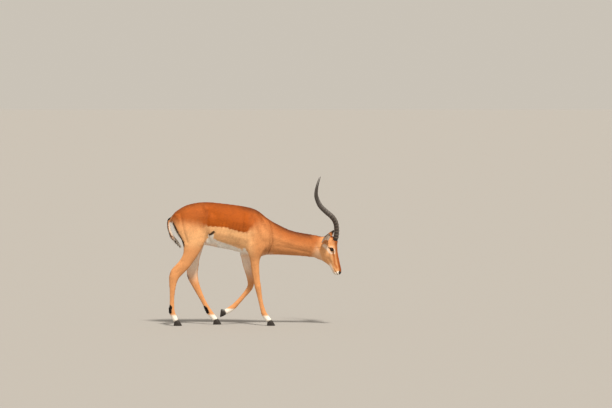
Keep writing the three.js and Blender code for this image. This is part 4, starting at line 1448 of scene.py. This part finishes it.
def laid_flat(points):
    """The place on the plane of every point of the skin."""
    x, y, z = points.T
    along, above, out = head_places(points)
    round_body = round_share(y, read_line(x, BODY_MIDDLE) - z)
    round_head = round_share(out, above - read_line(along, HEAD_MIDDLE))
    ear_row = 0.34 + 0.1 * (above + 60) / 160
    flat = np.stack([0.01 + 0.98 * ((x + 665) / 1230), 0.47 + 0.52 * round_body], 1)
    parts = []
    for number, leg in enumerate(leg_places(points).values()):
        column = 0.01 + 0.2 * number + 0.18 * round_share(leg["out"], leg["front"])
        parts.append((leg["share"] > 0.5, column, 0.01 + 0.3 * leg["up"] / 660))
    parts += [
        (on_head(points) > 0.5, 0.82 + 0.17 * round_head, 0.03 + 0.4 * (along + 20) / 340),
        (on_tail(points) > 0.5, 0.02 + 0.15 * (y + 20) / 40, 0.34 + 0.1 * (z - 590) / 260),
        (on_ear(points), 0.25 + 0.25 * (out > 0) + 0.2 * (np.abs(out) - 45) / 130, ear_row),
    ]
    for inside, u, v in parts:
        flat = np.where(inside[:, None], np.stack([u, v], 1), flat)
    return np.clip(flat, PLANE_EDGE, 1 - PLANE_EDGE)


print("the skin on the plane:", np.round(np.ptp(laid_flat(points_of(skin)), axis=0), 2))

# %% [markdown]
# ## Locks of hair
# A lock is a flat closed spike: three points at its root, three where it is widest, one at its tip.
# It is rooted just under the skin and leans over its neighbours like a roof tile, so only the tips
# stand clear. Its faces catch the light as a rounded strand would.

# %% One lock, and many
LOCK_FACES = np.array([
    (0, 1, 2), (0, 4, 1), (0, 3, 4), (1, 5, 2), (1, 4, 5),
    (2, 3, 0), (2, 5, 3), (3, 6, 4), (4, 6, 5), (5, 6, 3),
])
LOCK_POINTS = 7
LOCK_UNDERSIDE = ~np.isin(LOCK_FACES, (1, 4)).any(axis=1)  # the faces turned to the skin
LOCK_LEAN = np.array([-0.5, 0, 0.5, -0.5, 0, 0.5, 0])  # how far light takes each point as sideways
LOCK_ON_PLANE = np.array([(-1, -1), (0, -1), (1, -1), (-0.8, 0), (0, 0), (0.8, 0), (0, 1)])
LOCK_PATCH = 0.003  # of the plane
LOCK_THICK = 0.16  # of its width
LOCK_SINK = 0.4  # depth of the root under the skin
COAT_LOW, COAT_HIGH = to_drawing(cad_box[0]) + 0.3, to_drawing(cad_box[1]) - 0.3  # no hair beyond


print("a lock has", len(LOCK_FACES), "triangles,", int(LOCK_UNDERSIDE.sum()), "of them underneath")

# %% [markdown]
# ### From locks to a piece
# Thousands of locks are far too many for an operator each, so all the points of a piece are worked
# out at once and its mesh is written in one go, with its tones and its place on the plane.

# %% A piece full of locks
def mesh_piece(name, points, faces, flat, tones, soft_normals):
    """A piece made straight from arrays of points, triangles and their places on the plane."""
    mesh = bpy.data.meshes.new(name)
    mesh.vertices.add(len(points))
    mesh.vertices.foreach_set("co", to_frame(points).ravel())
    mesh.loops.add(faces.size)
    mesh.loops.foreach_set("vertex_index", faces.ravel().astype(np.int32))
    mesh.polygons.add(len(faces))
    mesh.polygons.foreach_set("loop_start", np.arange(0, faces.size, 3, dtype=np.int32))
    layer = mesh.uv_layers.new(name="OFBake")
    layer.uv.foreach_set("vector", flat[faces.ravel()].astype(np.float32).ravel())
    write_tones(mesh, tones)
    mesh.update(calc_edges=True)
    mesh.normals_split_custom_set(soft_normals)
    piece = bpy.data.objects.new(name, mesh)
    bpy.context.scene.collection.objects.link(piece)
    mesh.materials.append(coat)
    return piece


def lock_points(roots, normals, ways, across, sizes, curl):
    """The seven points of every lock, which leans off the skin and curls back towards it."""
    length, width, lean = (np.broadcast_to(size, (len(roots),))[:, None] for size in sizes)
    thick = normals * (LOCK_THICK * width)
    rise = ways * np.cos(lean) + normals * np.sin(lean)
    root = roots - normals * LOCK_SINK
    middle = root + rise * length * 0.45
    tip = root + rise * length - normals * length * np.sin(lean) * curl
    points = np.stack([
        root - across * width * 0.42, root + thick, root + across * width * 0.42,
        middle - across * width * 0.5, middle + thick, middle + across * width * 0.5, tip,
    ], 1)
    return np.clip(points, COAT_LOW, COAT_HIGH)


def grow_locks(name, roots, normals, ways, sizes, tones, curl=0.6):
    """Locks at roots, as one piece; sizes are length, width and the angle off the skin."""
    across = np.cross(normals, ways)
    points = lock_points(roots, normals, ways, across, sizes, curl)
    flat = laid_flat(roots)[:, None, :] + LOCK_ON_PLANE * LOCK_PATCH / 2
    faces = LOCK_FACES + LOCK_POINTS * np.arange(len(roots))[:, None, None]
    leaning = normals[:, None] + across[:, None] * LOCK_LEAN[None, :, None]
    leaning = leaning / np.linalg.norm(leaning, axis=2)[:, :, None]
    soft = leaning[:, LOCK_FACES] * np.where(LOCK_UNDERSIDE, -1, 1)[None, :, None, None]
    tones = {key: np.repeat(value, LOCK_POINTS) for key, value in tones.items()}
    return mesh_piece(
        name, points.reshape(-1, 3), faces.reshape(-1, 3),
        np.clip(flat.reshape(-1, 2), 0, 1), tones, soft.reshape(-1, 3),
    )


print("no hair reaches out of", np.round(COAT_LOW), "to", np.round(COAT_HIGH), "mm")

# %% [markdown]
# ## Where the locks stand
# Locks are longest on the belly and rump and smallest on the face, ears and feet. None stand on the
# eyes, the bare nose, the lips, the hooves or under the horns.

# %% Regions and bare places
# region: (lock length, lock width, locks for each lock's area)
LOCK_SIZES = {
    "trunk": (15.0, 2.9, 1.9), "neck": (14.0, 2.7, 1.9), "legs": (9.5, 2.0, 0.95),
    "head": (7.5, 1.7, 1.25), "ears": (7.5, 1.5, 1.1), "tail": (15.0, 2.2, 1.9),
}
REGIONS = list(LOCK_SIZES)
LOCK_TABLE = np.array(list(LOCK_SIZES.values()))
NECK_FROM = 96
HOOF_TOP = 14
HORN_FOOT = [(610, 24, 628), (626, 27, 680)]
HORN_FOOT_RADIUS = 19.5


def under_horn(points):
    """Near the line of either horn's foot."""
    under = np.zeros(len(points), bool)
    for sign in SIDES.values():
        base, above = (turn((x, sign * out, z)) for x, out, z in HORN_FOOT)
        rise = (above - base) / np.linalg.norm(above - base)
        away = points - base
        under |= np.linalg.norm(away - np.outer(away @ rise, rise), axis=1) < HORN_FOOT_RADIUS
    return under & (head_places(points)[0] < 75) & ~on_ear(points)


def bare_places(points):
    along, above, out = head_places(points)
    eye = (nearer_lid(points) < LID_RIM) & (np.abs(out) > EYE_SIDE)
    nose = (along > 293) & (above > -5)
    mouth = path_distance(np.stack([along, above], 1), MOUTH_LINE) < 2.4
    bare_face = (on_head(points) > 0.5) & (eye | nose | mouth | under_horn(points))
    return bare_face | (points[:, 2] < HOOF_TOP)


def region_of(points):
    """The region at each point, as a number into REGIONS."""
    legs = sum(place["share"] for place in leg_places(points).values())
    region = np.where(points[:, 0] > NECK_FROM, REGIONS.index("neck"), REGIONS.index("trunk"))
    region = np.where(legs > 0.5, REGIONS.index("legs"), region)
    region = np.where(on_head(points) > 0.5, REGIONS.index("head"), region)
    region = np.where(on_tail(points) > 0.5, REGIONS.index("tail"), region)
    return np.where(on_ear(points), REGIONS.index("ears"), region)


points = points_of(skin)
print("bare points of the skin:", int(bare_places(points).sum()), "of", len(points))

# %% [markdown]
# ### Roots
# Roots are dropped over the triangles of the skin by chance, more of them where locks are small.

# %% Drop the roots
LOCK_COVER = 0.55  # a lock covers this share of its length times its width
normals = normals_of(skin)
skin.data.calc_loop_triangles()
corners = read_array(skin.data.loop_triangles, "vertices", 3, np.int32)
first, second, third = (points[corners[:, index]] for index in range(3))
area = np.linalg.norm(np.cross(second - first, third - first), axis=1) / 2
centres = (first + second + third) / 3


def drop_roots(weights, count):
    """Places by chance over the skin's triangles, more of them where the weights are high."""
    chosen = rng.choice(len(weights), count, p=weights / weights.sum())
    share = rng.dirichlet((1, 1, 1), count)
    place = np.einsum("ij,ijk->ik", share, points[corners[chosen]])
    normal = np.einsum("ij,ijk->ik", share, normals[corners[chosen]])
    size = np.linalg.norm(normal, axis=1)
    keep = (size > 0.7) & ~bare_places(place)  # none on a knife edge, where normals cancel out
    return place[keep], normal[keep] / size[keep, None]


length, width, crowding = LOCK_TABLE[region_of(centres)].T
wanted = area * crowding / (LOCK_COVER * length * width) * ~bare_places(centres)
roots, root_normals = drop_roots(wanted, int(wanted.sum()))
region = region_of(roots)
print("locks:", len(roots), {name: int((region == n).sum()) for n, name in enumerate(REGIONS)})

# %% [markdown]
# ### The short coat
# No two locks are alike: each swerves a little from the lie and has its own length, lean and shade.
# They are shorter towards the nose and the feet and longer under the belly. Trunk, neck and legs
# are grown in pieces by side, and the largest are split again.

# %% Grow the coat
MAX_LOCKS = 19000


def swerving(ways, normals, spread):
    """Ways turned a little on the skin, each by chance."""
    swerve = rng.normal(0, spread, len(ways))[:, None]
    return flattened(ways + np.cross(normals, ways) * swerve, normals)


def coat_scale(place, normal, regions):
    """Each lock's length as a share of its region's own, and how much more it leans."""
    face = on_head(place) * smoothstep(head_places(place)[0], 60, 200)
    legs = leg_places(place).values()
    feet = sum(leg["share"] * (1 - smoothstep(leg["up"], 40, 260)) for leg in legs)
    belly = smoothstep(-normal[:, 2], 0.3, 0.9) * (regions == REGIONS.index("trunk"))
    chance = rng.uniform(0.75, 1.2, len(place))
    scale = chance * (1 - 0.35 * face) * (1 - 0.3 * np.clip(feet, 0, 1)) * (1 + 0.4 * belly)
    return scale, 2 * belly + 3 * face


def grow_region(name, mask):
    """Grows the coat of one region in pieces small enough to handle."""
    grown = []
    picked = np.flatnonzero(mask)
    parts = max(1, math.ceil(len(picked) / MAX_LOCKS))
    for number, part in enumerate(np.array_split(picked, parts)):
        place, normal = roots[part], root_normals[part]
        ways = swerving(hair_ways(place, normal), normal, 0.16)
        scale, more_lean = coat_scale(place, normal, region[part])
        tones = markings(place, normal)
        tones["tuft"] = rng.uniform(0.1, 0.9, len(part))
        lean = np.radians(rng.uniform(4, 8, len(part)) + more_lean)
        length, width, _ = LOCK_TABLE[region[part]].T
        title = f"coat_{name}" if parts == 1 else f"coat_{name}_{number + 1}"
        sizes = length * scale, width * scale**0.5, lean
        grown.append(grow_locks(title, place, normal, ways, sizes, tones))
    return grown


coat_pieces = []
right = roots[:, 1] < 0
for number, name in enumerate(REGIONS):
    if name in ("trunk", "neck", "legs"):
        coat_pieces += grow_region(f"{name}_right", (region == number) & right)
        coat_pieces += grow_region(f"{name}_left", (region == number) & ~right)
    else:
        coat_pieces += grow_region(name, region == number)
print("coat:", {piece.name: len(piece.data.polygons) for piece in coat_pieces})

# %% [markdown]
# ## Tufts and fringes
# Some hair breaks the outline. Each tuft or fringe is a band of longer locks that stand off the skin
# a little more than their neighbours. The first are on the hind heels and the tail: black tufts, a
# brush, and a white fringe in front of it.

# %% Heel tufts and the tail
centre_normals = normals[corners].mean(axis=1)
centre_x, centre_y, centre_z = centres.T
head_along, head_above, head_out = head_places(centres)
face = on_head(centres) * ~on_ear(centres)
body = (1 - on_head(centres)) * (1 - on_tail(centres))
tail = on_tail(centres)


def grow_tufts(name, share, count, length, width, lean, along=(0, 0, 0), curl=0.3, **own_tones):
    """Longer locks where share is high; along bends their lie, own_tones are laid over the markings."""
    place, normal = drop_roots(area * share, count)
    ways = swerving(hair_ways(place, normal) + np.array(along, float), normal, 0.2)
    tones = markings(place, normal)
    for tone, amount in own_tones.items():
        lay(tones, tone, np.full(len(place), amount))
    tones["tuft"] = rng.uniform(0.1, 0.9, len(place))
    scale = rng.uniform(0.65, 1.15, len(place))
    length = (length(place) if callable(length) else length) * scale
    sizes = length, width, np.radians(lean) * scale
    coat_pieces.append(grow_locks(f"coat_{name}", place, normal, ways, sizes, tones, curl))


def brush_length(place):
    """Longer further up, so that the tips of the brush end together."""
    return np.clip((place[:, 2] - 590) * 0.6 + 16, 16, 44)


for leg, place in leg_places(centres).items():
    if leg.startswith("hind"):
        heel = patch(np.stack([place["front"], place["up"]], 1), [(-17, 116), (-20, 88)], 15, 8)
        grow_tufts(f"heel_{leg}", heel * place["share"], 420, 17, 2.2, 17, black=1.0)
grow_tufts("tail_brush", tail * smoothstep(centre_z, 735, 690), 750, brush_length, 2.4, 8)
fringe = smoothstep(centre_x - read_line(centre_z, TAIL_MIDDLE), 0, 5)
fringe = tail * fringe * smoothstep(centre_z, 640, 670) * (centre_z < 790)
grow_tufts("tail_fringe", fringe, 650, 34, 2.4, 15, (0.35, 0, -0.2), white=0.8)
print("pieces of the coat so far:", len(coat_pieces))

# %% [markdown]
# ### Ears, horn collars and lashes
# White hair stands in the hollow of each ear, a collar of hair rises round the foot of each horn with
# painted shade where it meets the horn, and short black lashes stand on the upper lids.

# %% Tufts of the head
for side, sign in SIDES.items():
    this_side = sign * head_out
    root, axis, ear_length, opens = ear_frame(side)
    u = (turn(centres, -HEAD_YAW) - root) @ axis / ear_length
    cupped = smoothstep(turn_vectors(centre_normals, -HEAD_YAW) @ opens, 0.2, 0.5) * (this_side > 0)
    lining = on_ear(centres) * cupped * (u > 0.08) * (u < 0.62)
    grow_tufts(f"ear_{side}_lining", lining, 330, 15, 1.1, 24, white=0.8)
    low, high = turn(horn_knots(side, 2))
    rise = (high - low) / np.linalg.norm(high - low)
    collar = face * smoothstep(centre_z, 618, 640) * (head_along < 60) * (this_side > 4)
    collar = collar * smoothstep(centre_x, 590, 600) * (np.abs(centre_y) < 60)
    # the collar's dusk is painted shade at the horn's foot
    grow_tufts(f"horn_{side}_collar", collar, 420, 9, 1.3, 18, 3 * rise, dusk=0.45)
    lid = lid_places(centres, side)[0]
    upper = face * (lid > 1.08) * (lid < 1.3) * (this_side > 30) * (head_above > EYE_ABOVE - 2)
    upper = upper * (head_along < EYE_ALONG + 4)
    grow_tufts(f"lashes_{side}", upper, 60, 7.5, 0.7, 38, (-0.6, 0, -0.2), black=1.0)
print("tufts of the head:", [piece.name for piece in coat_pieces[-6:]])

# %% [markdown]
# ### Fringes of the body
# The hair is longer along the belly, the throat, the fold of the flank, the buttocks and the chin, and a
# low crest runs along the back, dusky from darker hair and painted shade.

# %% Fringes and crest
down = smoothstep(-centre_normals[:, 2], 0.35, 0.6)
up = smoothstep(centre_normals[:, 2], 0.75, 0.9)
rearward = smoothstep(-centre_normals[:, 0], 0.35, 0.6)
belly = body * down * (centre_x > -335) * (centre_x < 70) * (centre_z > 560) * (centre_z < 700)
back = body * up * (np.abs(centre_y) < 20) * (centre_x > -600) * (centre_z > 650)
throat = body * down * (centre_x > 110)
fold = patch(centres[:, [0, 2]], [(-342, 652), (-322, 676)], 16, 14)
fold = fold * (np.abs(centre_y) > 40) * body
seat = body * rearward * (centre_x < -520) * (centre_z > 610) * (centre_z < 790)
chin = patch(np.stack([head_along, head_above], 1), [(292, -24), (270, -28)], 7, 8) * face
grow_tufts("belly_fringe", belly, 1300, 23, 2.6, 9)
# the crest's dusk is darker hair with painted shade over it
grow_tufts("crest", back, 1500, 16, 2.2, 8, dusk=0.5)
grow_tufts("throat_fringe", throat, 700, 16, 2.2, 8)
grow_tufts("flank_fold", fold, 380, 20, 2.4, 9, white=0.9)
grow_tufts("buttocks", seat, 900, 19, 2.4, 9)
grow_tufts("chin", chin, 140, 7, 1.2, 16)
print("fringes:", {piece.name: len(piece.data.polygons) for piece in coat_pieces[-6:]})
print("coat in all:", sum(len(piece.data.polygons) for piece in coat_pieces), "triangles")

# %% [markdown]
# ## What each piece stands for
# The skin stands for all the flesh of the solids, and the eyes, horns and hooves for theirs.

# %% Join the pieces to the frame
def stands_for(piece, slot, *nodes):
    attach(piece, "root")
    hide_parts(*nodes)


stands_for(skin, "coat", *FLESH, *EARS)
for side in SIDES:
    stands_for(eyes[side], "eye", f"eye_{side}")
    stands_for(horns[side], "horn", f"horn_{side}")
for leg, hoof in hooves.items():
    stands_for(hoof, "hoof", *CLAWS[leg])
for piece in coat_pieces:
    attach(piece, "root")

# %% [markdown]
# ## Studio
# A plain pale floor and a soft high light from the ram's right and ahead, as in a museum hall, with
# pale light from all round.

# %% Floor and light
FLOOR_SIZE = 400
SUN_WAY = (-0.7, 1.9, -3.1)

bpy.ops.object.select_all(action="DESELECT")
bpy.ops.mesh.primitive_plane_add(size=FLOOR_SIZE)
floor = name_new("floor")
plaster, _ = new_material("pale plaster", {"Roughness": 0.9, "Base Color": light("#9D9B99")})
floor.data.materials.append(plaster)
floor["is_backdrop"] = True

bpy.ops.object.light_add(type="SUN", location=(1, -3, 5))
key = bpy.context.object
key.name = "key light"
key.data.energy = 4.3
key.data.angle = math.radians(9)
key.data.color = (1.0, 0.92, 0.80)
key.rotation_euler = Vector(SUN_WAY).to_track_quat("-Z", "Y").to_euler()

world = bpy.data.worlds.new("studio")
bpy.context.scene.world = world
world.use_nodes = True
sky = world.node_tree.nodes["Background"].inputs
sky["Color"].default_value = light("#E2DACD")
sky["Strength"].default_value = 0.78
bpy.context.scene.view_settings.view_transform = "Standard"
print("lights:", key.name, "and", world.name)

# %% [markdown]
# ### Camera
# The camera stands far off with a long lens, a little above the back.

# %% Camera
CAMERA_AWAY = 24.0
CAMERA_RISE = math.radians(2.2)
CAMERA_TARGET = Vector((0.3966, 0.0129, 0.929))  # the middle of the picture

bpy.ops.object.camera_add()
camera = bpy.context.object
camera.name = "camera"
camera.data.lens = 184.5
camera.data.sensor_width = 36
camera.data.clip_end = FLOOR_SIZE
camera.data.dof.use_dof = False
back_off = Vector((0, -math.cos(CAMERA_RISE), math.sin(CAMERA_RISE)))
camera.location = CAMERA_TARGET + CAMERA_AWAY * back_off
camera.rotation_euler = (CAMERA_TARGET - camera.location).to_track_quat("-Z", "Y").to_euler()
bpy.context.scene.camera = camera
print("camera at", [round(value, 2) for value in camera.location])

# %% [markdown]
# ## Finish
# The box of the solids and the box of what is shown are kept side by side, so that anyone can see
# that the coat stays within the size that was drawn.

# %% Print the sizes and finish
visual_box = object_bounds()
sizes = {"solids": [list(corner) for corner in cad_box], "shown": [list(corner) for corner in visual_box]}
for name, corners in sizes.items():
    print(name, [[round(value, 4) for value in corner] for corner in corners])
